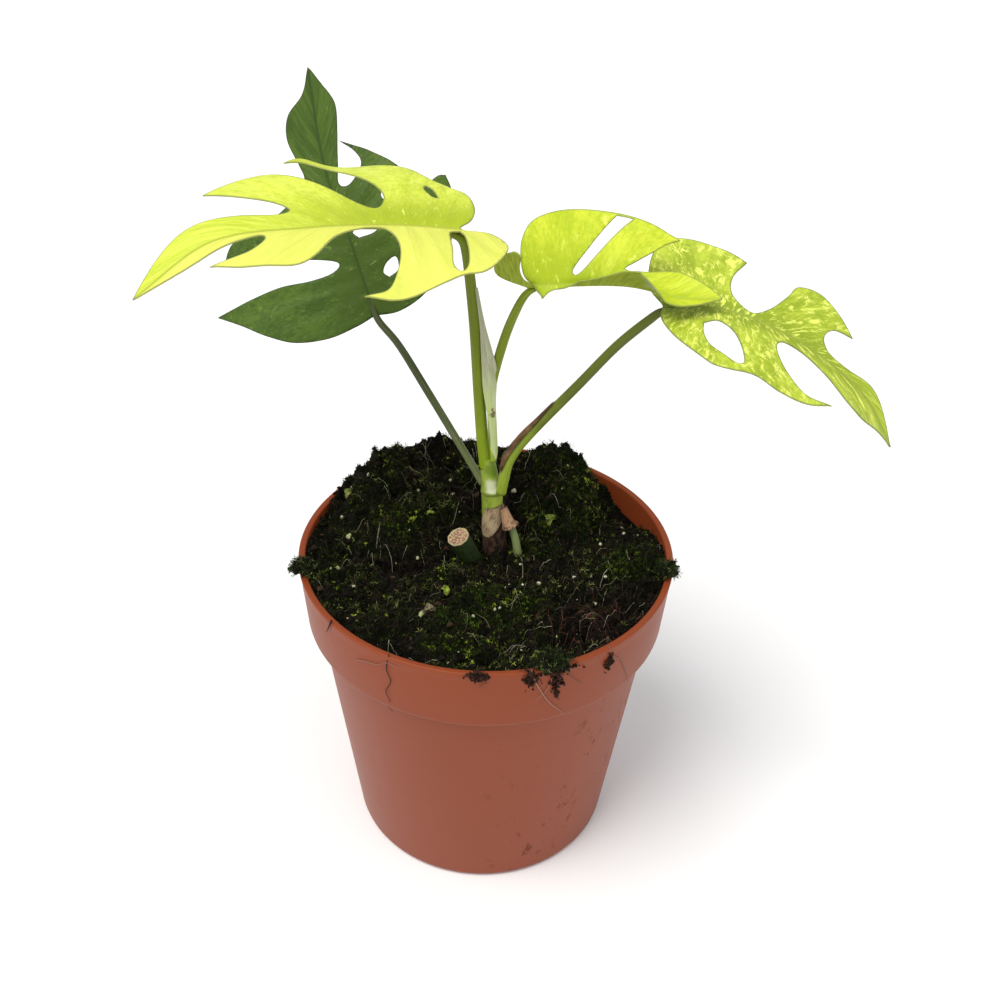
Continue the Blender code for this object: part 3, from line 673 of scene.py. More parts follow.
def spots(count, wanted, reach=SOIL_RADIUS + 0.8):
    """Random spots on the soil, kept where wanted(x, y) beats a random number."""
    radius = reach * np.sqrt(chance.random(count))
    angle = chance.uniform(0, 2 * np.pi, count)
    x, y = radius * np.cos(angle), radius * np.sin(angle)
    keep = wanted(x, y) > chance.random(count)
    return x[keep], y[keep]


def surface(x, y):
    """Points on the soil's surface over (x, y)."""
    return np.stack([x, y, soil_height(x, y)], -1)


def ball_template(subdivisions, roughness, seed):
    """A lumpy ball: an icosphere whose radius varies with direction."""
    shape = bmesh.new()
    bmesh.ops.create_icosphere(shape, subdivisions=subdivisions, radius=1.0)
    points = np.array([v.co[:] for v in shape.verts])
    faces = [[v.index for v in face.verts] for face in shape.faces]
    shape.free()
    return points * (1.0 + roughness * value_noise(points * 2.6 + 7.0, 1.0, seed))[:, None], faces


# %% Crumbs of peat
def build_crumbs():
    """Thousands of small lumpy balls, mostly tiny, stretched at random; a few are red-brown."""
    points, faces = ball_template(1, 0.55, 3)
    x, y = spots(8600, lambda x, y: 1.0 - 0.7 * moss_cover(x, y)[0])
    size = 0.25 + 0.8 * chance.random(len(x))**3
    sizes = size[:, None] * chance.uniform(0.35, 1.5, (len(x), 3))
    places = surface(x, y) + np.array([0, 0, 0.15])
    mesh, tone = scattered("peat_crumbs", points, faces, places, sizes, turns(len(x), 1.5),
                           chance.random(len(x)))
    finish = Finish("peat_crumb", 0.9, Specular_IOR_Level=0.1)
    grain = finish.noise(finish.position(), 1500.0, 3.0)
    dark = finish.mix(grain, (0.003, 0.0025, 0.002), (0.016, 0.01, 0.007))
    finish.colour(finish.mix(finish.layer("tone").step(0.88, 1.0) * 0.7, dark, (0.085, 0.045, 0.026)))
    finish.bump(grain, 0.0004)
    piece = add_piece("peat_crumbs", mesh, [finish], ["peat_back", "peat_back_right"],
                      {"tone": tone})
    piece.data.shade_flat()


build_crumbs()
print("crumbs", len(pieces["peat_crumbs"].data.polygons), "faces")

# %% [markdown]
# Perlite is expanded volcanic glass: white, rounded, pitted grains. Most are crumbs of a
# millimetre, and a few are as large as a peppercorn. Damp and algae have yellowed some.

# %% Perlite
# Place and size of each large grain.
LARGE_GRAINS = [(-19, -33, 0.95), (-45, 6, 1.05), (34, -21, 0.8), (17, -46, 1.0), (-47, -9, 0.85),
                (9, 32, 0.9)]


def build_perlite():
    """Small grains at random and the large ones at their places, each half sunk in the soil."""
    points, faces = ball_template(2, 0.4, 8)
    x, y = spots(120, lambda x, y: 0.75 + 0 * x, SOIL_RADIUS - 2.0)
    size = 0.22 + 0.5 * chance.random(len(x))**2
    big = np.array(LARGE_GRAINS, float)
    x, y, size = np.append(x, big[:, 0]), np.append(y, big[:, 1]), np.append(size, big[:, 2])
    sizes = size[:, None] * chance.uniform(0.7, 1.2, (len(x), 3))
    places = surface(x, y) + np.stack([0 * x, 0 * x, 0.5 * size], -1)
    mesh, tone = scattered("perlite_grains", points, faces, places, sizes, turns(len(x), 1.5),
                           chance.random(len(x)))
    finish = Finish("perlite_white", 0.8, Specular_IOR_Level=0.2)
    pits = finish.noise(finish.position(), 1900.0, 3.0)
    clean = finish.mix(pits.step(0.35, 0.62), (0.28, 0.25, 0.14), (0.74, 0.72, 0.55))
    finish.colour(finish.mix(finish.layer("tone").step(0.4, 1.0) * 0.75, clean, (0.4, 0.42, 0.16)))
    finish.bump(pits, 0.0004)
    add_piece("perlite_grains", mesh, [finish],
              [f"perlite_{k + 1}" for k in range(len(LARGE_GRAINS))], {"tone": tone})


build_perlite()
print("perlite", len(pieces["perlite_grains"].data.polygons), "faces")

# %% [markdown]
# Moss is thousands of leafy shoots. Each shoot here is a tuft of narrow pointed leaflets that
# lean outwards. In the cushions they stand close and bright. Elsewhere thin scraps of moss lie
# about at every angle, mostly dark: their dark green is painted shade between the shoots.

# %% Moss
def tuft_template(leaflets, width, spread):
    """Leaflets round a centre: each a narrow diamond that rises, leans out and ends in a point."""
    angle = np.arange(leaflets) * 2 * np.pi / leaflets
    out = np.stack([np.cos(angle), np.sin(angle), 0 * angle], -1)
    across = np.stack([-np.sin(angle), np.cos(angle), 0 * angle], -1)
    up = np.array([0.0, 0.0, 1.0])
    outer = (np.arange(leaflets) % 2 == 0)[:, None]
    lean, rise = spread * np.where(outer, 0.8, 0.4), np.where(outer, 0.7, 1.15)
    root = 0.02 * out
    left = 0.45 * lean * out + 0.5 * rise * up + width * across
    right = 0.45 * lean * out + 0.5 * rise * up - width * across
    tip = lean * out + rise * up
    points = np.stack([root, right, tip, left], axis=1).reshape(-1, 3)
    faces = [[4 * k, 4 * k + 1, 4 * k + 2, 4 * k + 3] for k in range(leaflets)]
    return points, faces


def moss_finish(name, shadow, leaf, tip):
    """Three greens by the tone of each shoot: shaded, ordinary and the few bright tips."""
    finish = Finish(name, 0.75, Specular_IOR_Level=0.12)
    shade = finish.layer("tone")
    green = finish.mix(shade.step(0.05, 0.6), shadow, leaf)
    finish.colour(finish.mix(shade.step(0.6, 1.0), green, tip))
    return finish


def build_moss():
    """Tufts wherever the moss cover is high, with noise that paints shade into its hollows in the dark green.
    """
    points, faces = tuft_template(6, 0.16, 1.0)
    x, y = spots(19000, lambda x, y: 1.25 * moss_cover(x, y)[0] - 0.3)
    patch = 0.5 + 0.5 * layered_noise(np.stack([x, y, 0 * x], -1), 5.0, 3, 61)
    size = chance.uniform(0.45, 1.05, len(x))
    sizes = size[:, None] * chance.uniform(0.8, 1.25, (len(x), 3))
    # Low tones, where the patch noise is low, take the shadow green: painted shade in the hollows.
    tones = np.clip(1.1 * patch**1.5 * (0.35 + chance.random(len(x))), 0, 1)
    places = surface(x, y) - np.array([0, 0, 0.1])
    mesh, tone = scattered("moss_tufts", points, faces, places, sizes, turns(len(x), 0.9), tones)
    finish = moss_finish("moss_green", (0.006, 0.013, 0.001), (0.085, 0.135, 0.008), (0.42, 0.5, 0.05))
    names = ["moss_front", "moss_front_edge", "moss_left", "moss_back_left", "moss_right",
             "moss_back_right"]
    add_piece("moss_tufts", mesh, [finish], names, {"tone": tone})


def build_scraps():
    """Thin tufts all over the soil, lying at every angle, mostly in the dark green of painted shade."""
    points, faces = tuft_template(4, 0.1, 1.7)
    x, y = spots(17000, lambda x, y: 0.25 + 0.75 * np.sqrt(moss_cover(x, y)[0]))
    size = chance.uniform(0.4, 1.3, len(x))
    sizes = size[:, None] * chance.uniform(0.7, 1.3, (len(x), 3))
    places = surface(x, y) + np.stack([0 * x, 0 * x, 0.3 * chance.random(len(x))], -1)
    patch = 0.5 + 0.5 * layered_noise(np.stack([x, y, 0 * x], -1), 6.0, 3, 62)
    # Most scraps get low tones and so the shadow green, which is painted shade.
    tones = np.clip(1.5 * patch**1.5, 0, 1) * chance.random(len(x))**1.4
    mesh, tone = scattered("moss_scraps", points, faces, places, sizes, turns(len(x), 1.4), tones)
    finish = moss_finish("moss_scrap", (0.003, 0.004, 0.001), (0.045, 0.065, 0.009), (0.32, 0.35, 0.1))
    add_piece("moss_scraps", mesh, [finish], (), {"tone": tone})


build_moss()
build_scraps()
print("moss", len(pieces["moss_tufts"].data.polygons), "and", len(pieces["moss_scraps"].data.polygons))

# %% [markdown]
# Fine roots and fibres lie loose on the peat: most nearly black, some red-brown, a few pale.
# Each is a thin three-sided thread along a short curve, and all are worked out as one array.

# %% Fibres
def threads(name, starts, headings, lengths, bends, radii, rise, steps=9):
    """Threads: a heading that turns steadily gives the flat curve, and rise gives its height."""
    t = np.linspace(0.0, 1.0, steps)
    angle = headings[:, None] + bends[:, None] * t
    stride = lengths[:, None] / (steps - 1)
    x = starts[:, :1] + np.cumsum(np.cos(angle) * stride, axis=1)
    y = starts[:, 1:2] + np.cumsum(np.sin(angle) * stride, axis=1)
    reach = np.maximum(np.hypot(x, y) / (SOIL_RADIUS + 0.5), 1.0)
    x, y = x / reach, y / reach
    z = rise(x, y, t)
    ring = np.arange(3) * 2 * np.pi / 3
    taper = radii[:, None] * (1.0 - 0.75 * t)
    side = np.stack([-np.sin(angle), np.cos(angle), 0 * angle], -1)
    up = np.array([0.0, 0.0, 1.0])
    middle = np.stack([x, y, z], -1)[:, :, None, :]
    around = (np.cos(ring)[None, None, :, None] * side[:, :, None, :]
              + np.sin(ring)[None, None, :, None] * up)
    points = middle + taper[:, :, None, None] * around
    one = grid_faces(steps, 3, True)
    faces = (one[None] + (np.arange(len(starts)) * steps * 3)[:, None, None]).reshape(-1, 4)
    return make_mesh(name, points, faces), steps * 3


def add_fibres(name, x, y, lengths, thickness, tones, shades):
    """Threads from the given spots: height = soil + lift x (0.2 + sway x half a sine wave)."""
    count = len(x)
    lift = chance.uniform(0.2, 1.3, count)
    sway = chance.uniform(0.3, 2.2, count)

    def rise(gx, gy, t):
        return soil_height(gx, gy) + lift[:, None] * (0.2 + sway[:, None] * np.sin(np.pi * t))

    mesh, per = threads(name, np.stack([x, y], -1), chance.uniform(0, 2 * np.pi, count),
                        chance.uniform(*lengths, count), chance.normal(0, 1.2, count),
                        chance.uniform(*thickness, count), rise)
    finish = Finish(name, 0.7, Specular_IOR_Level=0.2)
    shade = finish.layer("tone")
    brown = finish.mix(shade.step(0.2, 0.8), shades[0], shades[1])
    finish.colour(finish.mix(shade.step(0.86, 0.98), brown, shades[2]))
    add_piece(name, mesh, [finish], (), {"tone": np.repeat(tones, per)})


def build_fibres():
    """Dark fibres all over, and a mat of red-brown roots in the bare patch on the right."""
    x, y = spots(2300, lambda x, y: 0.85 - 0.35 * moss_cover(x, y)[0], SOIL_RADIUS - 1.0)
    add_fibres("soil_fibres", x, y, (2.5, 11.0), (0.05, 0.13), chance.random(len(x)),
               [(0.004, 0.003, 0.002), (0.06, 0.036, 0.018), (0.42, 0.4, 0.27)])
    x, y = spots(5200, lambda x, y: np.clip(1.1 - oval(x, y, (33, -35), (15, 12), 0.7), 0, 1) * 0.9)
    add_fibres("red_roots", x, y, (3.0, 9.0), (0.06, 0.13), chance.random(len(x)),
               [(0.02, 0.007, 0.005), (0.15, 0.05, 0.032), (0.4, 0.28, 0.2)])


build_fibres()
print("fibres", len(pieces["soil_fibres"].data.polygons) + len(pieces["red_roots"].data.polygons))

# %% [markdown]
# A few dead leaf flakes lie among the moss, one tan and the others yellow-green. Each is a
# small curled sheet: a grid bent into a shallow arch with a wavy edge.

# %% Flakes
# Place, length, turn and then how green each flake is.
FLAKE_STEPS = 15
FLAKES = [(-16.6, -30.1, 4.6, 0.3, 0.0), (21, 14, 5.6, 1.2, 0.75), (-12.4, -21.4, 4.0, 2.0, 1.0),
          (-18.9, 15, 3.2, 0.5, 0.8), (-46, 23.6, 5.0, 1.0, 0.6), (15.6, -49, 3.6, 0.2, 0.9)]


def build_flakes():
    """Each flake: u and v from -1 to 1 over an oval, raised by an arch and a ripple."""
    steps = np.linspace(-1.0, 1.0, FLAKE_STEPS)
    u, v = np.meshgrid(steps, steps, indexing="ij")
    points, tones = [], []
    for x0, y0, size, turn, tone in FLAKES:
        wide = 0.6 * np.sqrt(np.clip(1.02 - u**2, 0, 1)) * (1 + 0.25 * np.sin(6 * u + x0))
        a, b = u * size / 2, v * wide * size / 2
        x = x0 + a * np.cos(turn) - b * np.sin(turn)
        y = y0 + a * np.sin(turn) + b * np.cos(turn)
        arch = 0.28 * size * (1 - u**2) + 0.1 * size * np.sin(3 * v + 4 * u)
        z = soil_height(np.array([x0]), np.array([y0]))[0] + 0.5 + arch + 0.25 * b * np.cos(y0)
        points.append(np.stack([x, y, z], -1))
        tones.append(np.full(u.size, tone))
    one = grid_faces(FLAKE_STEPS, FLAKE_STEPS, False)
    faces = np.concatenate([one + k * u.size for k in range(len(FLAKES))])
    mesh = make_mesh("leaf_flakes", np.array(points), faces)
    finish = Finish("dead_flake", 0.7, Specular_IOR_Level=0.2)
    mottle = finish.noise(finish.position(), 900.0, 4.0, 0.65).step(0.35, 0.68)
    tan = finish.mix(mottle, (0.06, 0.045, 0.02), (0.24, 0.21, 0.12))
    green = finish.mix(mottle, (0.05, 0.075, 0.006), (0.3, 0.4, 0.04))
    finish.colour(finish.mix(finish.layer("tone"), tan, green))
    piece = add_piece("leaf_flakes", mesh, [finish], (), {"tone": np.concatenate(tones)})
    skin = piece.modifiers.new("skin", "SOLIDIFY")
    skin.thickness = 0.15 * MM


build_flakes()
print("flakes", len(FLAKES))

# %% [markdown]
# ## Over the rim
#
# Clumps of mossy peat have spilled onto the lip on the left, on the right and in front. Each is
# a lumpy core with moss scraps all over it. Thin roots hang from them down the collar.

# %% Rim clumps
def build_rim_clumps():
    """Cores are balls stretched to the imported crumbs' boxes, and the scraps stand on them."""
    ball, ball_faces = ball_template(4, 0.75, 17)
    spread = ball_template(3, 0.5, 17)[0]
    scrap, scrap_faces = tuft_template(4, 0.13, 1.6)
    cores, places = [], []
    for node in ("crumb_left", "crumb_right", "crumb_front"):
        low, high = (np.array(corner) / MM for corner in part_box(node))
        centre, half = (low + high) / 2, (high - low) / 2
        cores.append(centre + ball * half * 0.72)
        places.append(centre + spread * half * chance.uniform(0.65, 1.0, (len(spread), 1)))
    faces = np.concatenate([np.array(ball_faces) + k * len(ball) for k in range(3)])
    core = Finish("clump_core", 0.9, Specular_IOR_Level=0.1)
    grain = core.noise(core.position(), 800.0, 4.0, 0.7)
    core.colour(core.mix(grain.step(0.4, 0.7), (0.003, 0.003, 0.002), (0.02, 0.022, 0.006)))
    core.bump(grain, 0.001)
    add_piece("rim_clumps", make_mesh("rim_clumps", np.array(cores), faces), [core],
              ["crumb_left", "crumb_right", "crumb_front"])
    places = np.repeat(np.concatenate(places), 2, axis=0)
    count = len(places)
    places = places + chance.normal(0, 0.25, (count, 3))
    sizes = np.repeat(chance.uniform(0.4, 1.2, count)[:, None], 3, axis=1)
    mesh, tone = scattered("rim_scraps", scrap, scrap_faces, places, sizes, turns(count, 3.1),
                           chance.random(count))
    # Most rim scraps take the shadow green, which is painted shade.
    finish = moss_finish("rim_scrap", (0.003, 0.004, 0.001), (0.03, 0.05, 0.008), (0.14, 0.17, 0.05))
    add_piece("rim_scraps", mesh, [finish], (), {"tone": tone**1.6})


build_rim_clumps()
print("rim clumps ready")

# %% Hanging roots
HANGING_STEPS = 60
HANGING_SIDES = 8
# Thickness, tone and then (angle, height) of each point on the pot's outside.
HANGING = [
    (0.15, 0.0, [(-117, 110), (-118, 104), (-117, 99), (-119, 94), (-118, 90), (-121, 85), (-120, 81)]),
    (0.15, 0.6, [(-129, 101), (-126, 102.5), (-121, 104), (-118, 106.5), (-114, 106)]),
    (0.24, 0.8, [(-77, 110), (-76, 106), (-74, 101), (-71, 95), (-68, 91), (-66, 88)]),
    (0.12, 0.9, [(-73, 110), (-71, 105), (-72.5, 100), (-75, 97)]),
    (0.12, 0.4, [(-66, 110), (-65, 104), (-62, 100), (-61, 98)]),
    (0.15, 0.6, [(-53, 110), (-51, 105), (-47, 101), (-44, 95), (-41.5, 90), (-41, 87)]),
    (0.3, 0.0, [(-139, 110), (-140, 107), (-142, 103.5)]),
    (0.14, 0.1, [(-90, 110), (-89.5, 107), (-91, 104)]),
    (0.22, 0.0, [(-69, 110), (-68.5, 104), (-69.5, 98), (-68, 95)]),
]


def outside_radius(height):
    """The pot's outer radius at a height, and the way over its lip above that."""
    return np.interp(height, [0.0, NECK_HEIGHT - 2, NECK_HEIGHT + 0.6, POT_HEIGHT - LIP_DEPTH,
                              POT_HEIGHT, POT_HEIGHT + 2],
                     [BASE_RADIUS, NECK_RADIUS + 0.2, RIM_RADIUS - 1.8, RIM_RADIUS - 0.4,
                      RIM_RADIUS + 0.2, RIM_RADIUS - 1.5])


def build_hanging():
    """Each root follows its points down the collar, lying on it, and thins to a third."""
    parts, tones = [], []
    for thickness, tone, places in HANGING:
        angle, height = np.radians(np.array(places, float).T[0]), np.array(places, float).T[1]
        reach = outside_radius(height) + 1.1 * thickness + 0.1
        route = np.stack([reach * np.cos(angle), reach * np.sin(angle), height,
                          thickness * np.linspace(1.0, 0.35, len(height))], -1)
        line = evenly(spline_through(route), HANGING_STEPS)
        parts.append(tube_points(line, HANGING_SIDES, reference=(1.0, 0.3, 0.1)))
        tones.append(np.full(HANGING_STEPS * HANGING_SIDES, tone))
    one = grid_faces(HANGING_STEPS, HANGING_SIDES, True)
    faces = np.concatenate([one + k * HANGING_STEPS * HANGING_SIDES for k in range(len(parts))])
    finish = Finish("hanging_root", 0.65, Specular_IOR_Level=0.25)
    finish.colour(finish.mix(finish.layer("tone"), (0.012, 0.006, 0.004), (0.4, 0.22, 0.15)))
    add_piece("hanging_roots", make_mesh("hanging_roots", np.array(parts), faces), [finish],
              (), {"tone": np.concatenate(tones)})


SPILLED = 420


def build_spills():
    """Small dark crumbs stuck to the front of the collar, thickest right under the lip."""
    middles = np.array([(-91, 108.5, 2.2, 1.5), (-77, 107.0, 1.6, 3.0), (-69, 104.5, 1.5, 5.0),
                        (-70, 108.5, 5.0, 1.2), (-52, 103, 1.0, 2.0)])
    picked = middles[chance.integers(0, len(middles), SPILLED)]
    angle = np.radians(picked[:, 0] + picked[:, 2] * chance.normal(0, 0.7, SPILLED))
    height = picked[:, 1] + picked[:, 3] * chance.normal(0, 0.7, SPILLED)
    reach = outside_radius(height) + 0.2
    places = np.stack([reach * np.cos(angle), reach * np.sin(angle), height], -1)
    points, faces = ball_template(1, 0.55, 4)
    size = 0.18 + 0.6 * chance.random(SPILLED)**2
    sizes = size[:, None] * chance.uniform(0.5, 1.4, (SPILLED, 3))
    mesh, tone = scattered("collar_crumbs", points, faces, places, sizes, turns(SPILLED, 3.1),
                           chance.random(SPILLED))
    finish = Finish("collar_crumb", 0.9, Specular_IOR_Level=0.1)
    finish.colour(finish.mix(finish.layer("tone"), (0.006, 0.004, 0.003), (0.05, 0.022, 0.014)))
    add_piece("collar_crumbs", mesh, [finish], (), {"tone": tone})


# %% [markdown]
# ## Stem and stalks
#
# Every stalk is a round section carried along a smooth route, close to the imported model's own.
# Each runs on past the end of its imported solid, as the midrib under the leaf does, in
# one unbroken tube. The finish reads two values stored on the points: how far along the stalk
# a point lies, and where it is round the stalk.

# %% Tubes
def tube_points(route, sides, reference=(0.0, -1.0, 0.0), ridges=0.0):
    """A section carried along a route of (x, y, z, radius) rows. Ridges are shallow flutes."""
    line = route[:, :3]
    _, side, up = route_axes(line, np.array(reference))
    angle = np.linspace(0.0, 2 * np.pi, sides, endpoint=False)
    radius = route[:, 3:4] * (1.0 + ridges * np.cos(9 * angle))
    return (line[:, None] + (radius * np.cos(angle))[..., None] * side[:, None]
            + (radius * np.sin(angle))[..., None] * up[:, None])


def add_tube(name, route, radii, finish, slot, nodes=(), sides=28, count=90, **shape):
    """One closed tube through the route's points, with its two layers for the finish."""
    line = evenly(spline_through(np.column_stack([route, radii])), count)
    points = tube_points(line, sides, **shape)
    mesh = make_mesh(name, points, capped(count, sides))
    along = np.repeat(np.linspace(0.0, 1.0, count), sides)
    around = np.tile(np.linspace(0.0, 1.0, sides, endpoint=False), count)
    return add_piece(name, mesh, [finish], nodes, {"along": along, "around": around})


def stalk_finish(name, low, high, streak):
    """Living skin that goes from one green to another along the stalk, with long streaks."""
    finish = Finish(name, 0.42, Specular_IOR_Level=0.25)
    place = finish.position()
    along = finish.layer("along")
    long = finish.noise(finish.node("ShaderNodeCombineXYZ", None,
                                    {"X": finish.layer("around") * 26.0, "Y": along * 7.0}), 1.0, 4.0)
    cloud = finish.noise(place, 140.0, 3.0)
    body = finish.mix((along + 0.35 * cloud).step(0.15, 0.75), low, high)
    body = finish.mix(long.step(0.48, 0.8) * 0.6, body, streak)
    finish.colour(body)
    finish.bump(long + finish.noise(place, 1500.0) * 0.3, 0.00018, 0.7)
    return finish


build_hanging()
build_spills()
print("hanging roots", len(HANGING))

# %% Stalk routes
def build_stalks():
    """Four tubes, each from inside the stem to just under its blade."""
    left_green = stalk_finish("left_stalk_green", (0.25, 0.35, 0.012), (0.13, 0.17, 0.002),
                              (0.2, 0.26, 0.015))
    add_tube("left_stalk",
             [(-0.4, 4, 137.0), (-2, 4, 148), (-3.3, 4, 164.4), (-4.7, 4, 184.5), (-6.2, 4, 199.5),
              (-7.3, 4, 208), (-8.4, 3.9, 211.6), (-11, 3.8, 213.2), (-16, 3.2, 214.1)],
             [2.3, 1.9, 1.75, 1.65, 1.55, 1.5, 1.45, 1.1, 0.8], left_green, "green_stem", ["stalk_left"])
    young_green = stalk_finish("young_stalk_green", (0.3, 0.41, 0.02), (0.17, 0.22, 0.006),
                               (0.36, 0.44, 0.07))
    add_tube("young_stalk",
             [(1.6, 1.0, 141), (0.9, 2.6, 150), (0.4, 3.2, 160), (0.9, 3.1, 168), (2.5, 2.5, 176.8),
              (4.8, 2, 185.7), (7.7, 1, 193.9), (9.9, 0.5, 197.8), (12.4, 0.8, 199.2), (15, 1.2, 199.9)],
             [0.9, 1.1, 1.2, 1.3, 1.4, 1.35, 1.2, 1.05, 0.8, 0.5], young_green, "green_stem", ["stalk_young"])
    right_green = stalk_finish("right_stalk_green", (0.3, 0.4, 0.035), (0.1, 0.125, 0.012),
                               (0.1, 0.085, 0.03))
    add_tube("right_stalk",
             [(4.2, 0.8, 129.4), (4.9, 0.7, 134.6), (6.6, 1.1, 142), (12.3, 1.6, 150.8), (26, 1, 168.5),
              (36, 0.5, 181.6), (44.5, 0.1, 190.4), (48.3, 0, 193.4), (53, -0.8, 194.4)],
             [1.65, 1.7, 1.7, 1.6, 1.45, 1.4, 1.35, 1.1, 0.7], right_green, "green_stem", ["stalk_right"])
    grey = stalk_finish("back_stalk_grey", (0.14, 0.17, 0.06), (0.05, 0.065, 0.018), (0.26, 0.27, 0.15))
    add_tube("back_stalk",
             [(-1.5, 6.6, 128.6), (-6.1, 12, 134), (-19.8, 26, 150.5), (-29.5, 37, 161.0),
              (-36.6, 46.3, 164.8), (-39.0, 50.0, 168.5), (-41.2, 53.3, 174)],
             [1.2, 1.2, 1.2, 1.15, 1.1, 0.9, 0.6], grey, "grey_stalk", ["stalk_back"],
             reference=(0.0, 0.0, 1.0), ridges=0.05)


build_stalks()
print("stalks ready")

# %% Stem
# Height of the joint where the right and back stalks leave, in metres as the shader reads it.
JOINT = 0.1291


def stem_finish():
    """Green joints with a ring scar at the node and a pale patch above it, brown at the foot."""
    finish = Finish("stem_green", 0.45, Specular_IOR_Level=0.25)
    place = finish.position()
    cloud = finish.noise(place, 160.0, 4.0)
    blotch = finish.noise(finish.scaled(place, (1.0, 1.0, 0.5)), 420.0, 4.0, 0.65)
    level = finish.part(place, "Z") + 0.0012 * blotch
    facing = ((finish.layer("around") - 0.22).absolute() + 0.1 * (blotch - 0.5)).step(0.15, 0.06)
    green = finish.mix(cloud.step(0.35, 0.65), (0.16, 0.25, 0.02), (0.36, 0.46, 0.06))
    pale = level.step(JOINT + 0.0005, JOINT + 0.0012) * (level + 0.002 * blotch).step(0.136, 0.134) * facing
    green = finish.mix(pale * 0.85, green, (0.72, 0.73, 0.5))
    ring = (level - JOINT).absolute().step(0.0007, 0.0003)
    green = finish.mix(ring * 0.6, green, (0.12, 0.13, 0.04))
    brown = finish.mix(blotch.step(0.35, 0.65), (0.012, 0.007, 0.005), (0.1, 0.05, 0.028))
    foot = (level + 0.004 * cloud).step(0.1225, 0.119)
    finish.colour(finish.mix(foot, green, brown))
    finish.roughness(0.45 + 0.4 * foot)
    finish.bump(blotch + cloud * 0.4, 0.0006, 0.7)
    return finish


def build_stem():
    """The section swells at the node, where the right and back stalks leave it."""
    route = [(4.5, 2.6, 88), (3.6, 3, 96), (3.0, 3, 104), (2.2, 3.3, 113), (1.7, 3.5, 120),
             (1.4, 3.6, 127.0), (1.3, 3.6, 128.6), (1.0, 3.7, 130.0), (0.7, 3.8, 132.5), (0.2, 3.9, 136),
             (-0.3, 4, 140.5)]
    radii = [3.6, 3.8, 3.9, 3.7, 3.4, 3.35, 3.6, 3.15, 2.85, 2.6, 2.2]
    add_tube("main_stem", route, radii, stem_finish(), "green_stem", ["stem"], sides=40, count=120)


build_stem()
print("stem ready")

# %% [markdown]
# ## Stump and aerial root
#
# An older stem was cut off beside the living one. Its cut face is tan, with a dark rim and
# small vessels. The aerial root is grey-green and comes out of a torn brown collar.

# %% Stump
STUMP_ROWS = 40
STUMP_SIDES = 48


def build_stump():
    """A leaning tube whose end is closed by a slightly sunken disc. Each ring of the disc is
    (1 - s) x rim + s x centre."""
    route = evenly(spline_through(np.column_stack([
        [(-1.6, -0.8, 94), (-3.4, -2.4, 102), (-6.4, -4.6, 110.5), (-9.0, -6.2, 117.2)],
        [3.5, 3.5, 3.5, 3.45]])), STUMP_ROWS)
    points = tube_points(route, STUMP_SIDES, ridges=0.02)
    inward = np.linspace(0.04, 0.995, 14)
    rim, centre = points[-1], points[-1].mean(axis=0)
    disc = [rim * (1 - s) + centre * s + np.array([0, 0, -0.35 * np.sin(np.pi * s)]) for s in inward]
    points = np.concatenate([points, np.array(disc)])
    mesh = make_mesh("stump", points, grid_faces(len(points), STUMP_SIDES, True))
    cut = np.repeat((np.arange(len(points)) >= STUMP_ROWS - 1).astype(float), STUMP_SIDES)
    radial = np.repeat(np.concatenate([np.ones(STUMP_ROWS), 1 - inward]), STUMP_SIDES)
    finish = Finish("cut_stump", 0.55, Specular_IOR_Level=0.35)
    place = finish.position()
    bark = finish.mix(finish.noise(place, 260.0, 4.0), (0.004, 0.012, 0.002), (0.03, 0.055, 0.01))
    wood = finish.mix(finish.noise(place, 1700.0, 3.0).step(0.4, 0.62), (0.2, 0.1, 0.055), (0.55, 0.37, 0.22))
    wood = finish.mix(finish.layer("radial").step(0.86, 0.95) * 0.8, wood, (0.5, 0.44, 0.22))
    finish.colour(finish.mix(finish.layer("cut"), bark, wood))
    finish.bump(finish.noise(place, 1400.0, 3.0), 0.0004)
    add_piece("stump", mesh, [finish], ["cut_stump"], {"cut": cut, "radial": radial})


build_stump()
print("stump ready")

# %% Aerial root
def build_root():
    """A thin tube that comes out of the collar on the stem and bends down into the soil."""
    grey = stalk_finish("root_grey", (0.12, 0.14, 0.05), (0.2, 0.25, 0.09), (0.3, 0.33, 0.16))
    add_tube("air_root",
             [(12.2, -4.8, 95), (11.4, -4.1, 102), (10.1, -3, 108.2), (9.3, -2.0, 112.8),
              (8.2, -1.2, 116.4), (6.6, -0.3, 120.4)],
             [1.25, 1.3, 1.3, 1.25, 1.15, 1.0], grey, "root_skin", ["aerial_root"], sides=20, count=50)


build_root()
print("root ready")

# %% [markdown]
# ## Sheaths
#
# Each leaf stalk starts as a thin skin wrapped round the next one. The live sheath is pale
# green and almost clear, and the old ones have dried to brown paper. Each is a thin strip given
# by rows of points, with its thickness from Solidify.

# %% Sheaths
def sheath_grid(rows, across=25, along=70):
    """Rows of points are made smooth both ways: first across each row, then along the strip."""
    smooth = np.array([evenly(spline_through(row, 8), across) for row in rows])
    strip = spline_through(smooth.reshape(len(rows), -1), 12)
    place = np.linspace(0, len(strip) - 1, along)
    low = np.floor(place).astype(int)
    high = np.minimum(low + 1, len(strip) - 1)
    part = (place - low)[:, None]
    strip = (strip[low] * (1 - part) + strip[high] * part).reshape(along, across, 3)
    return strip


def add_sheath(name, strip, thickness, finish, nodes):
    """A sheath from its grid of points, made solid by a thickness on both sides of it."""
    along, across = strip.shape[:2]
    mesh = make_mesh(name, strip, grid_faces(along, across, False))
    layers = {"along": np.repeat(np.linspace(0, 1, along), across),
              "around": np.tile(np.linspace(0, 1, across), along)}
    piece = add_piece(name, mesh, [finish], nodes, layers)
    skin = piece.modifiers.new("skin", "SOLIDIFY")
    skin.thickness = thickness * MM
    skin.offset = 0.0
    return piece


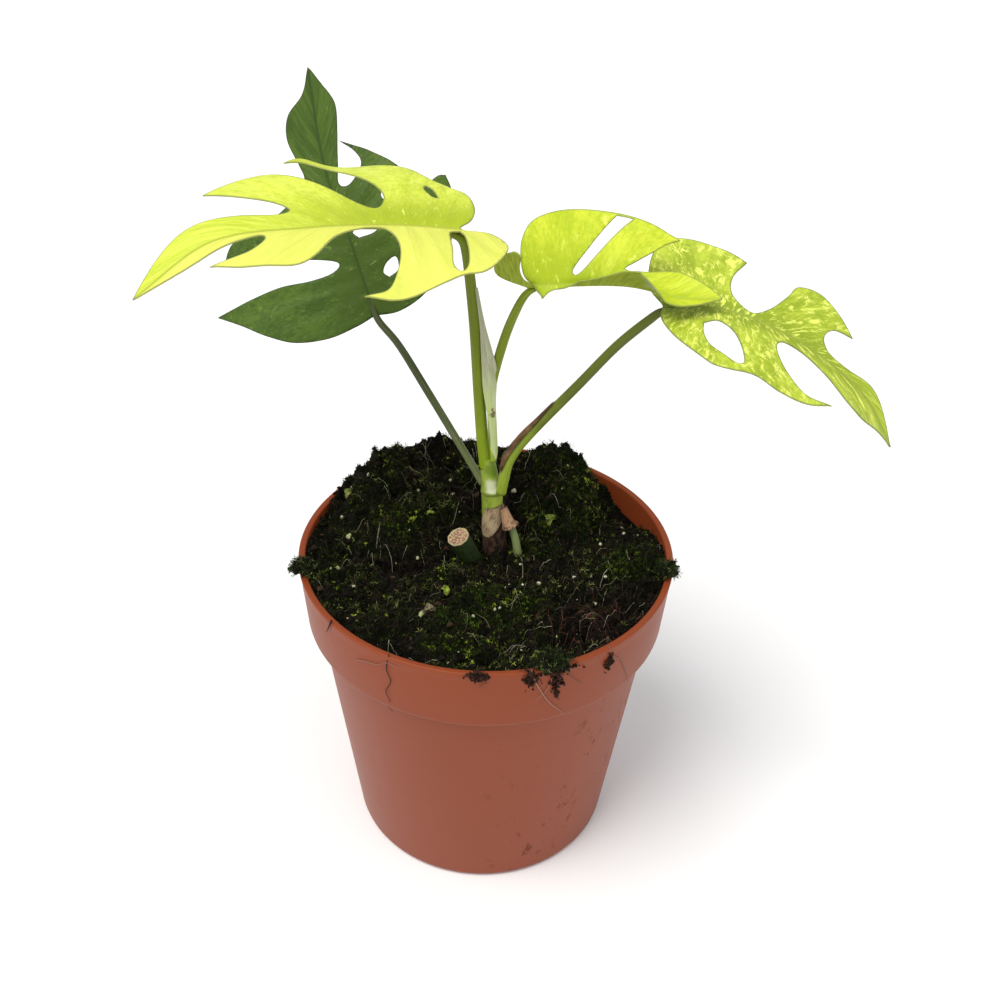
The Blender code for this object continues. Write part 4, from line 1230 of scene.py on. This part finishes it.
def rolled_rows(stations):
    """Rows of a rolled skin: each an arc square to the route, from +X towards +Y."""
    route = np.array([centre for centre, _, _, _ in stations], float)
    ahead = np.gradient(route, axis=0)
    ahead /= np.linalg.norm(ahead, axis=1)[:, None]
    rows = []
    for (centre, radius, first, last), along in zip(stations, ahead):
        across = np.array([1.0, 0.0, 0.0]) - along[0] * along
        across /= np.linalg.norm(across)
        inward = np.cross(along, across)
        angle = np.radians(np.linspace(first, last, 9))[:, None]
        rows.append(centre + radius * (np.cos(angle) * across + np.sin(angle) * inward))
    return rows


def skin_finish(name, pale, dark, contrast, torn):
    """A dry skin with fine veins along it and torn edges: the skin stops where noise beats the
    distance from the nearest edge."""
    finish = Finish(name, 0.6, Specular_IOR_Level=0.2)
    along, around = finish.layer("along"), finish.layer("around")
    vector = finish.node("ShaderNodeCombineXYZ", None, {"X": around * 22.0, "Y": along * 5.0})
    veins = finish.noise(vector, 1.0, 4.0, 0.6)
    cloud = finish.noise(finish.position(), 240.0, 4.0)
    mixed = (veins * 0.6 + cloud * 0.4).step(*contrast)
    finish.colour(finish.mix(mixed, pale, dark))
    finish.bump(veins, 0.0004)
    inner = (along * (1.0 - along)) * (around * (1.0 - around)) * 16.0
    finish.alpha((inner + veins * torn).step(0.5 * torn + 0.04, 0.5 * torn + 0.1))
    return finish


def clear_finish():
    """The living sheath: bright at its rounded foot, greyer above, and narrow low down, where
    only a strip of it stands away from the stalk."""
    finish = Finish("live_sheath", 0.45, Specular_IOR_Level=0.25)
    along, around = finish.layer("along"), finish.layer("around")
    veins = finish.noise(finish.node("ShaderNodeCombineXYZ", None, {"X": around * 16.0, "Y": along * 5.0}),
                         1.0, 4.0, 0.6)
    body = finish.mix(along.step(0.25, 0.6), (0.5, 0.6, 0.2), (0.36, 0.37, 0.22))
    body = finish.mix(veins.step(0.4, 0.7) * 0.7, body, (0.66, 0.66, 0.48))
    blotch = finish.noise(finish.position(), 900.0, 3.0, 0.6)
    scar = (along - 0.25).absolute() * 16.0 + (around - 0.52).absolute() * 2.6 + blotch * 1.6
    finish.colour(finish.mix(scar.step(1.35, 1.05) * 0.8, body, (0.1, 0.05, 0.015)))
    middle = 0.5 + 0.1 * along.step(0.4, 0.1)
    width = along.step(-0.02, 0.08) * 0.28 + along.step(0.1, 0.5) * 0.25
    finish.alpha((width - (around - middle).absolute()).step(-0.01, 0.015))
    finish.bump(veins, 0.0003)
    return finish


# The live sheath: a height, and four points across it there.
LIVE_LEVELS = [
    (142, [(-0.2, 1.2), (1.0, -0.2), (2.6, 0.4), (3.0, 2.0)]),
    (150, [(-1.2, 1.6), (0.3, 1.1), (2.2, 1.9), (2.4, 3.6)]),
    (160, [(-1.9, 2.0), (-0.2, 1.7), (1.6, 2.3), (1.8, 4.2)]),
    (168, [(-2.3, 2.2), (-0.1, 1.5), (1.6, 1.9), (2.0, 3.6)]),
    (174, [(-2.6, 2.2), (-1.0, 1.5), (0.6, 1.0), (1.8, 1.1)]),
    (179, [(-2.9, 2.4), (-1.8, 2.0), (-0.7, 1.7), (0.4, 1.5)]),
    (187, [(-3.4, 2.6), (-2.9, 2.4), (-2.4, 2.3), (-1.8, 2.2)]),
    (198, [(-4.8, 2.8), (-4.5, 2.7), (-4.3, 2.7), (-4.1, 2.6)]),
]
# Each dry skin: piece, slot, node, thickness, pale and dark colours, contrast and how torn it
# is, then its sections as (centre, radius, first angle, last angle).
DRY_SKINS = [
    ("old_sheath", "dry_sheath", "dried_sheath", 0.3, (0.27, 0.15, 0.07), (0.045, 0.016, 0.009),
     (0.4, 0.62), 0.6,
     [((5.2, 0.8, 137.4), 2.0, 150, 240), ((6.9, 1.1, 143.0), 2.1, 135, 245),
      ((11.0, 1.5, 149.3), 2.05, 140, 235), ((15.6, 1.5, 155.0), 1.9, 150, 225),
      ((20.8, 1.3, 161.8), 1.75, 168, 200)]),
    ("paper_sheath", "papery_sheath", "papery_sheath", 0.3, (0.55, 0.42, 0.25), (0.13, 0.065, 0.03),
     (0.42, 0.68), 0.7,
     [((2.5, 3.2, 112.5), 4.0, -165, -110), ((2.2, 3.3, 116), 3.95, -165, -70),
      ((1.9, 3.4, 120), 3.85, -150, -30), ((1.5, 3.5, 124.2), 3.75, -125, 10)]),
    ("torn_collar", "dry_sheath", "root_collar", 0.35, (0.46, 0.27, 0.15), (0.07, 0.03, 0.018),
     (0.42, 0.62), 0.7,
     [((7.3, -0.8, 117.6), 2.9, -170, 100), ((6.6, -0.5, 119.2), 1.9, -170, 120),
      ((5.9, 0.0, 121.2), 1.5, -170, 120), ((4.9, 0.6, 124.2), 1.1, -165, 90)]),
]


def build_sheaths():
    """The live sheath as sections at rising heights, and three dry ones as rolled skins."""
    rows = [np.column_stack([section, np.full(4, height)]) for height, section in LIVE_LEVELS]
    add_sheath("live_sheath", sheath_grid(rows), 0.25, clear_finish(), ["stalk_sheath"])
    for name, slot, node, thickness, pale, dark, contrast, torn, stations in DRY_SKINS:
        finish = skin_finish(node, pale, dark, contrast, torn)
        add_sheath(name, sheath_grid(rolled_rows(stations)), thickness, finish, [node])


build_sheaths()
print("sheaths ready")

# %% [markdown]
# ## Leaves
#
# A blade has lobes and holes, so it can't be one plain grid. Its outline is drawn flat instead,
# cut into cells about a millimetre wide, and every point is then bent over the midrib at once.
# Before bending, a relief is added: a groove along the midrib, a shallow furrow along each
# side vein and soft swelling between them.
#
# Side veins sweep forwards near the tip and backwards near the base. `vein_origin` follows them
# back to the midrib: it gives the place on the rib where the vein through each point starts.
# Streaks and furrows drawn against that value then run along the lobes as they do in life.

# %% Blade shape


class Blade:
    """How a flat leaf is bent. u runs along the midrib from base to tip and v out from it,
    positive to the left of somebody looking along the rib from above. Each half leaves the rib
    at a fold angle and bends by a steady number of degrees per millimetre. Where the half on the
    right twists, its fold angles are a list along the rib instead.
    """

    def __init__(self, rib, up_base, up_tip, left, right, sweep, right_folds=None):
        """Left and right hold the fold at the base and at the tip, then the bend at each."""
        self.line = spline_through(rib, 40)
        steps = np.linalg.norm(np.diff(self.line, axis=0), axis=1)
        self.along = np.concatenate([[0.0], np.cumsum(steps)])
        self.length = self.along[-1]
        slope = np.gradient(self.line, self.along, axis=0)
        self.slope = slope / np.linalg.norm(slope, axis=1)[:, None]
        self.up_base = np.array(up_base, float)
        self.up_tip = np.array(up_tip, float)
        self.left = left
        self.right = right
        self.sweep = sweep
        self.right_folds = right_folds or [(0.0, right[0]), (self.length, right[1])]

    def bend(self, u, v, lift=0.0):
        """Points in space for flat points: an arc of a circle on each side of the rib, and lift
        along the bent blade's own upward direction."""
        inside = np.clip(u, 0.0, self.length)
        rib = np.stack([np.interp(inside, self.along, c) for c in self.line.T], 1)
        ahead = np.stack([np.interp(inside, self.along, c) for c in self.slope.T], 1)
        ahead /= np.linalg.norm(ahead, axis=1)[:, None]
        rib = rib + ahead * (u - inside)[:, None]
        part = (inside / self.length)[:, None]
        up = self.up_base * (1 - part) + self.up_tip * part
        up = up - np.sum(up * ahead, 1)[:, None] * ahead
        up /= np.linalg.norm(up, axis=1)[:, None]
        left = np.cross(up, ahead)
        part = part[:, 0]
        is_left = v >= 0
        fold = np.where(is_left, self.left[0] * (1 - part) + self.left[1] * part,
                        np.interp(u, *zip(*self.right_folds)))
        roll = np.where(is_left, self.left[2] * (1 - part) + self.left[3] * part,
                        self.right[2] * (1 - part) + self.right[3] * part)
        fold, roll = np.radians(fold), np.radians(roll)
        reach = np.abs(v)
        turn = fold + roll * reach
        out = (np.sin(turn) - np.sin(fold)) / roll - lift * np.sin(turn)
        rise = (np.cos(fold) - np.cos(turn)) / roll + lift * np.cos(turn)
        side = np.where(is_left, out, -out)
        return rib + left * side[:, None] + up * rise[:, None]

    def vein_origin(self, u, v):
        """Where on the rib the side vein through (u, v) starts, by Newton steps on
        u = origin + (base sweep + growth x origin x |origin|) x |v|."""
        base, growth = self.sweep
        reach = np.abs(v)
        origin = u.copy()
        for _ in range(12):
            ahead = origin + (base + growth * origin * np.abs(origin)) * reach
            origin = origin - (ahead - u) / (1.0 + 2.0 * growth * np.abs(origin) * reach)
        return origin


# %% Leaf outlines
# Each run starts at a sharp corner and is smooth up to the next one.
LEFT = Blade(
    rib=[(-9, 4, 215), (-28, 1, 217), (-50, -5, 218), (-74, -11, 216), (-94, -18, 203)],
    up_base=(0, -0.05, 1), up_tip=(0, -0.1, 1),
    left=(2, -6, -0.7, -0.7), right=(15, 13, -0.78, -0.5), sweep=(-0.4, 0.0012))
LEFT_MARGIN = [
    [(93.5, 0), (86, 2.4), (76, 5), (69, 5.2), (60, 3.5), (54, 2.4), (53.5, 5), (58, 9), (64, 10.3)],
    [(70, 10), (62, 14.3), (53, 15.5), (46, 16), (41, 13), (35, 6), (28, 2.6), (21.5, 2.6),
     (18.3, 9), (19, 18), (24, 28)],
    [(31.8, 30.6), (24, 32), (14, 30), (6, 26.2), (1, 23.2), (-4, 21.5), (-9, 16), (-12, 9),
     (-8, 2.5), (-2, 1)],
    [(0, -0.5), (-3.5, -4), (-5, -10), (-3.5, -18), (1, -22), (7, -26), (13, -34), (22, -42), (33, -45)],
    [(44, -36.5), (35.5, -37), (27, -32), (21.5, -22), (19.5, -13), (22, -7), (27, -10), (35, -20),
     (44, -26.5), (54, -29)],
    [(66, -21), (57, -16), (49, -11.5), (45.5, -7.5), (50, -6), (60, -7.4), (72, -8.6), (83, -5.6)],
]
LEFT_HOLES = [
    [[(0.5, 2), (3.2, 3.5), (3.2, 12), (3.5, 19), (1.8, 22), (0, 19), (-0.8, 12), (-0.6, 5)]],
    [[(5.2, -13.5), (7, -14), (9, -18), (8.5, -20.5), (6.6, -18.5)]],
]
RIGHT = Blade(
    rib=[(48, 0, 195), (65, -3, 196), (85, -8, 190), (105, -12, 176), (116, -15, 160)],
    up_base=(0, -0.15, 1), up_tip=(0, -0.15, 1),
    left=(18, 18, -0.4, -0.4), right=(6, 6, -0.7, -0.7), sweep=(-0.3, 0.0012))
RIGHT_MARGIN = [
    [(84, 0), (76, -4), (67, -10), (59, -11), (50, -7.6), (41, -5.2), (35, -5.6), (34, -10),
     (38, -16.5), (45, -20)],
    [(54, -17.5), (47, -22.5), (38, -25), (30, -23.6), (23, -24.2), (15, -24), (8, -19.5), (3, -13),
     (0, -6)],
    [(0, 0.5), (-4, 6), (-5, 13), (-4, 21), (0, 26), (7, 27), (14, 23.5)],
    [(20, 19), (17.6, 12), (18.6, 5.5), (24.5, 1.6), (29, 5), (32.5, 12), (34.5, 17.5), (41, 20), (48, 17)],
    [(54.5, 12.5), (48.5, 10.5), (46.4, 6), (49.5, 2.4), (57, 2.2), (66, 4), (76, 2)],
]
RIGHT_HOLES = [
    [[(12, -8.5), (16, -6.6), (20.5, -9), (24, -14), (26.3, -20), (24.5, -21.4), (20, -19.8), (14.5, -17.5),
      (12.2, -13)]],
]
BACK = Blade(
    rib=[(-38, 48, 166), (-46, 58, 187), (-55, 70, 208), (-60, 82, 235)],
    up_base=(0, -1, 0.35), up_tip=(0, -1, 0.3),
    left=(5, 5, -0.5, -0.5), right=(5, 5, -0.5, -0.5), sweep=(-0.1, 0.0008))
BACK_MARGIN = [
    [(81, 0), (73, 3), (67, 8.5), (60, 10), (52, 7.8), (47.5, 7.5), (43.5, 13), (41, 20),
     (40.8, 28), (38.5, 38)],
    [(34.2, 42.5), (29.5, 33), (26.2, 24), (23, 13), (19.6, 6), (17.2, 9), (17, 17), (18.2, 27), (17.6, 38),
     (16.5, 47)],
    [(15.5, 54.5), (9.8, 44.5), (4.2, 36.5), (-0.5, 28), (-2.5, 17), (-1.6, 7)],
    [(0, 0), (-1, -8), (1.5, -17), (7, -25), (15, -31), (23, -34), (29, -36.6)],
    [(33.5, -36.4), (34, -33.5), (31.5, -26), (31, -18), (34.5, -14.5), (38, -17.5)],
    [(42.5, -23), (46.9, -20.2), (52.1, -15.2), (54.9, -10.8)],
    [(57.4, -6.2), (53.2, -10.4), (49, -12), (45.5, -10.6), (42, -6), (43.5, -3), (50, -4.6),
     (60, -6.4), (69, -7), (76, -3.2)],
]
BACK_HOLES = [
    [[(10.5, -8.5), (12.5, -7), (15, -9), (16, -12.5), (12, -12)]],
    [[(25.2, -3), (27.6, -1.6), (28, -6), (26.8, -11), (25.2, -8)]],
]
YOUNG = Blade(
    rib=[(11, 0, 200.2), (23, 0, 201.1), (36, -0.8, 201.7), (45, -2.1, 200.9), (51, -3.2, 199.4),
         (57, -4.6, 199.8), (64.5, -6.3, 201)],
    up_base=(0, -0.1, 1), up_tip=(0, -0.3, 1),
    left=(62, 25, -0.3, -0.3), right=(None, None, -0.5, -0.5), sweep=(-0.1, 0.0012),
    right_folds=[(-4, 78), (0.5, 62), (2.0, -50), (6, -50), (10, 15), (13, 56), (20, 66), (29, 66),
                 (37, 28), (53, 18)])
YOUNG_MARGIN = [
    [(53.2, 0.2), (47, -5), (40, -8.6), (34, -9.4), (29, -8.4), (25, -7.4), (21, -4.6), (16.5, -3),
     (12.5, -2.4), (8, -1.3), (5, -1.9)],
    [(2.7, -3.9), (2.0, -2.2)],
    [(1.0, -1.2), (-1.8, -2.6), (-3, -6), (-2.8, -10)],
    [(-2, -13), (-4.5, -13.6), (-7.5, -12), (-10, -8.5), (-9.4, -5), (-6, -2.2), (-2.5, -0.6)],
    [(0, 0.3), (-2.2, 3), (-2.8, 8), (-2.2, 13), (0.8, 17.6), (7, 20), (13.6, 20.6), (21, 20), (27, 18.9),
     (32, 17.4)],
    [(36.4, 15.6), (33, 11.6), (28.4, 7), (25.4, 4.2), (29.5, 4.2), (33.3, 5), (40, 7.2), (47, 4.9)],
]
YOUNG_HOLES = [
    [[(12.2, 2.4), (14.4, 4), (20.4, 11)], [(26.2, 18.4), (24.6, 18.8)],
     [(22.8, 19), (16.6, 10.8), (11.6, 4)]],
]
print("blades", [round(blade.length, 1) for blade in (LEFT, RIGHT, BACK, YOUNG)])

# %% [markdown]
# The flat sheet is a filled 2D curve. Planes a little over a millimetre apart cut it both ways,
# which leaves small cells inside and keeps the drawn outline exactly.

# %% Flat sheet
OUTLINE_STEP = 0.8
CELL = 1.3
BLADE_THICKNESS = 0.38


def outline_points(runs):
    """Points about OUTLINE_STEP apart along every run, which ends where the next one starts."""
    line = []
    for run, following in zip(runs, runs[1:] + runs[:1]):
        smooth = spline_through(run + following[:1], 16)
        length = np.sum(np.linalg.norm(np.diff(smooth, axis=0), axis=1))
        line.extend(evenly(smooth, max(3, int(length / OUTLINE_STEP)))[:-1])
    return np.array(line)


def flat_cells(outlines):
    """A flat bmesh inside the first outline and outside the others, cut into small cells."""
    curve = bpy.data.curves.new("outline", "CURVE")
    curve.dimensions = "2D"
    curve.fill_mode = "BOTH"
    for outline in outlines:
        spline = curve.splines.new("POLY")
        spline.points.add(len(outline) - 1)
        flat = np.column_stack([outline * MM, np.zeros(len(outline)), np.ones(len(outline))])
        spline.points.foreach_set("co", flat.ravel())
        spline.use_cyclic_u = True
    draft = bpy.data.objects.new("outline", curve)
    bpy.context.scene.collection.objects.link(draft)
    bpy.context.view_layer.update()
    mesh = bpy.data.meshes.new_from_object(draft.evaluated_get(bpy.context.evaluated_depsgraph_get()))
    sheet = bmesh.new()
    sheet.from_mesh(mesh)
    bpy.data.objects.remove(draft, do_unlink=True)
    bpy.data.curves.remove(curve)
    bpy.data.meshes.remove(mesh)
    bmesh.ops.remove_doubles(sheet, verts=sheet.verts, dist=0.01 * MM)
    bmesh.ops.dissolve_limit(sheet, angle_limit=0.0001, verts=sheet.verts, edges=sheet.edges)
    low = np.min([v.co[:2] for v in sheet.verts], axis=0)
    high = np.max([v.co[:2] for v in sheet.verts], axis=0)
    for axis in (0, 1):
        for place in np.arange(low[axis] + 0.37 * CELL * MM, high[axis], CELL * MM):
            point, normal = [0.0, 0.0, 0.0], [0.0, 0.0, 0.0]
            point[axis], normal[axis] = place, 1.0
            bmesh.ops.bisect_plane(sheet, geom=sheet.verts[:] + sheet.edges[:] + sheet.faces[:],
                                   plane_co=point, plane_no=normal, dist=0.0005 * MM)
    bmesh.ops.remove_doubles(sheet, verts=sheet.verts, dist=0.03 * MM)
    for face in sheet.faces:
        if face.normal.z < 0:
            face.normal_flip()
    return sheet


def margin_distance(points, outlines):
    """How far each flat point lies from the nearest stretch of outline."""
    nearest = np.full(len(points), 1e9)
    for outline in outlines:
        start, end = outline, np.roll(outline, -1, axis=0)
        step = end - start
        along = np.einsum("nmk,mk->nm", points[:, None] - start[None], step) / np.sum(step**2, axis=1)
        foot = start[None] + np.clip(along, 0, 1)[..., None] * step[None]
        nearest = np.minimum(nearest, np.linalg.norm(points[:, None] - foot, axis=2).min(axis=1))
    return nearest


# %% Blade piece
VEIN_SPACING = 5.2
RIB_ROWS = 60
RIB_SIDES = 14


def build_blade(name, blade, margin, holes, finishes, node, wave):
    """The flat cells bent into place, with this relief along the blade's upward direction:
    a groove on the rib, furrows in step with the side veins, and a wave that grows outwards."""
    outlines = [outline_points(margin)] + [outline_points(hole) for hole in holes]
    sheet = flat_cells(outlines)
    mesh = bpy.data.meshes.new(name)
    sheet.to_mesh(mesh)
    sheet.free()
    flat = np.zeros(len(mesh.vertices) * 3)
    mesh.vertices.foreach_get("co", flat)
    flat = flat.reshape(-1, 3)[:, :2] / MM
    u, v = flat.T
    origin = blade.vein_origin(u, v)
    edge = margin_distance(flat, outlines)
    phase = 2 * np.pi * origin / VEIN_SPACING
    near_rib = np.exp(-(v / 1.1)**2)
    fade = np.clip(np.abs(v) / 3.0, 0, 1) * np.clip(edge / 3.0, 0, 1)
    relief = -0.4 * near_rib + 0.2 * fade * np.cos(phase)
    height, spacing, shift = wave
    relief = relief + height * (np.abs(v) / 25.0)**2 * np.sin(2 * np.pi * u / spacing + shift + np.sign(v))
    points = blade.bend(u, v, relief) * MM
    mesh.vertices.foreach_set("co", points.ravel())
    layers = {"origin": origin, "reach": np.abs(v), "side": (v > 0).astype(float), "edge": edge, "rib": u}
    piece = add_piece(name, mesh, finishes, [node], layers)
    skin = piece.modifiers.new("skin", "SOLIDIFY")
    skin.thickness = BLADE_THICKNESS * MM
    skin.offset = -1.0
    skin.material_offset = 1
    add_midrib(name, blade)
    return piece


def add_midrib(name, blade):
    """The rib on the underside: a tube just under the blade that thins towards the tip."""
    along = np.linspace(0.0, 1.0, RIB_ROWS)
    u = 0.5 + (0.9 * blade.length - 0.5) * along
    radius = 0.75 - 0.62 * along
    line = blade.bend(u, 0.0 * u, -0.8 - 0.5 * radius)
    points = tube_points(np.column_stack([line, radius]), RIB_SIDES, reference=(0.0, -0.3, 1.0))
    mesh = make_mesh(name + "_rib", points, capped(RIB_ROWS, RIB_SIDES))
    layers = {"along": np.repeat(along, RIB_SIDES),
              "around": np.tile(np.linspace(0, 1, RIB_SIDES, endpoint=False), RIB_ROWS)}
    green = stalk_finish(name + "_rib", (0.14, 0.18, 0.012), (0.22, 0.28, 0.03), (0.3, 0.36, 0.06))
    add_piece(name + "_rib", mesh, [green], (), layers)


# %% [markdown]
# The leaf finish lays its colours along the veins. Two greens are mixed by noise that is stretched
# along them, fine side veins are a little lighter, the midrib is lighter still, and the very edge
# is darker: partly painted shade of the blade's thin rim and partly brown at the dry tips. A darker
# green near the base of the rib is painted shade. The variegated leaves have a third, yellow tone
# in longer streaks.

# %% Leaf finishes
def vein_coordinates(finish, across, along):
    """A place on the blade by its vein's start on the rib, its distance out and its side."""
    return finish.node("ShaderNodeCombineXYZ", None,
                       {"X": finish.layer("origin") * across, "Y": finish.layer("reach") * along,
                        "Z": finish.layer("side") * 7.3})


def leaf_finish(name, dark, light, streak, streaks, rib, edge, core, rib_shade_reach=(18.0, 3.0),
                rib_shade_end=(62.0, 20.0), side_tint=None, gloss=0.45):
    """Streaks and mottling along the veins. Core is the darker green near the rib's base, painted
    shade along the midrib; side_tint is that of the half on the left of the rib, and rib that of the
    midrib's groove."""
    finish = Finish(name, gloss, Specular_IOR_Level=0.25)
    cloud = finish.noise(vein_coordinates(finish, 0.3, 0.07), 1.0, 4.0, 0.6)
    fine = finish.noise(vein_coordinates(finish, 1.7, 0.55), 1.0, 4.0, 0.7, 0.3)
    body = finish.mix((cloud * 0.5 + fine * 0.5).step(0.38, 0.62), dark, light)
    # A darker green near the rib's base, broken up by cloud: painted shade along the midrib.
    rib_shade_mask = finish.layer("reach").step(*rib_shade_reach) * finish.layer("rib").step(*rib_shade_end)
    body = finish.mix((rib_shade_mask * (0.5 + cloud)).clamp() * 0.85, body, core)
    if side_tint:
        body = finish.mix(finish.layer("side") * (0.45 + 0.7 * cloud).clamp(), body, side_tint)
    marks = finish.noise(vein_coordinates(finish, 0.8, 0.3), 1.0, 6.0, 0.75, 0.6)
    body = finish.mix(marks.step(*streaks), body, streak)
    ripple = (finish.layer("origin") / VEIN_SPACING + 0.04 * fine).fraction() - 0.5
    side_vein = ripple.absolute().step(0.465, 0.5) * finish.layer("reach").step(28.0, 6.0)
    body = finish.mix(side_vein * 0.35, body, rib)
    body = finish.mix(finish.layer("reach").step(0.6, 0.2) * 0.75, body, rib)
    # The darker margin is partly painted shade of the blade's thin rim and partly brown at the dry tips.
    body = finish.mix(finish.layer("edge").step(0.45, 0.08) * 0.75, body, edge)
    finish.colour(body)
    finish.bump(fine * 0.6 + finish.noise(finish.position(), 900.0, 2.0) * 0.4, 0.00025, 0.8)
    return finish


def under_finish(name, dark, light):
    """The paler underside, with streaks and raised veins that follow the same lines."""
    finish = Finish(name, 0.5, Specular_IOR_Level=0.35)
    fine = finish.noise(vein_coordinates(finish, 1.2, 0.2), 1.0, 4.0, 0.6)
    body = finish.mix(fine.step(0.3, 0.7), dark, light)
    ripple = (finish.layer("origin") / VEIN_SPACING).fraction() - 0.5
    body = finish.mix(ripple.absolute().step(0.45, 0.5) * 0.5, body, light)
    finish.colour(body)
    finish.bump(fine, 0.0003, 0.8)
    return finish


# %% Leaves
# Each leaf: its side, shape, outline, holes and wave, the settings of its top, and the dark and
# light greens of its underside. In the top's settings, core is the painted shade near the rib's base.
LEAVES = [
    ("left", LEFT, LEFT_MARGIN, LEFT_HOLES, (0.5, 31.0, 0.4),
     dict(dark=(0.52, 0.63, 0.03), light=(0.76, 0.84, 0.1), streak=(0.82, 0.87, 0.19),
          streaks=(0.56, 0.72), rib=(0.4, 0.46, 0.04), edge=(0.26, 0.27, 0.09),
          core=(0.35, 0.45, 0.012), side_tint=(0.78, 0.8, 0.14)),
     [(0.17, 0.21, 0.015), (0.3, 0.36, 0.03)]),
    ("right", RIGHT, RIGHT_MARGIN, RIGHT_HOLES, (0.6, 27.0, 1.0),
     dict(dark=(0.3, 0.4, 0.022), light=(0.52, 0.63, 0.05), streak=(0.78, 0.84, 0.15),
          streaks=(0.5, 0.6), rib=(0.3, 0.38, 0.05), edge=(0.2, 0.24, 0.08),
          core=(0.24, 0.33, 0.015), rib_shade_reach=(9.0, 1.0), rib_shade_end=(90.0, 40.0)),
     [(0.17, 0.23, 0.025), (0.32, 0.4, 0.06)]),
    ("back", BACK, BACK_MARGIN, BACK_HOLES, (0.5, 29.0, 0.0),
     dict(dark=(0.042, 0.085, 0.008), light=(0.085, 0.15, 0.016), streak=(0.2, 0.29, 0.05),
          streaks=(0.56, 0.74), rib=(0.03, 0.06, 0.01), edge=(0.03, 0.045, 0.015),
          core=(0.055, 0.1, 0.009), gloss=0.5),
     [(0.08, 0.13, 0.04), (0.14, 0.2, 0.07)]),
    ("young", YOUNG, YOUNG_MARGIN, YOUNG_HOLES, (0.3, 25.0, 0.7),
     dict(dark=(0.45, 0.57, 0.016), light=(0.66, 0.74, 0.04), streak=(0.78, 0.84, 0.12),
          streaks=(0.55, 0.7), rib=(0.4, 0.5, 0.04), edge=(0.24, 0.28, 0.08),
          core=(0.36, 0.47, 0.01), rib_shade_reach=(16.0, 3.0), rib_shade_end=(26.0, 12.0)),
     [(0.2, 0.26, 0.012), (0.32, 0.39, 0.03)]),
]


def build_leaves():
    """Four blades, each with its own greens on top and underneath."""
    for side, blade, margin, holes, wave, top, under in LEAVES:
        finishes = [leaf_finish(f"{side}_leaf_top", **top), under_finish(f"{side}_leaf_under", *under)]
        build_blade(f"{side}_leaf", blade, margin, holes, finishes,
                    f"leaf_{side}", wave)


build_leaves()
print("leaves", [len(pieces[f"{leaf[0]}_leaf"].data.polygons) for leaf in LEAVES])
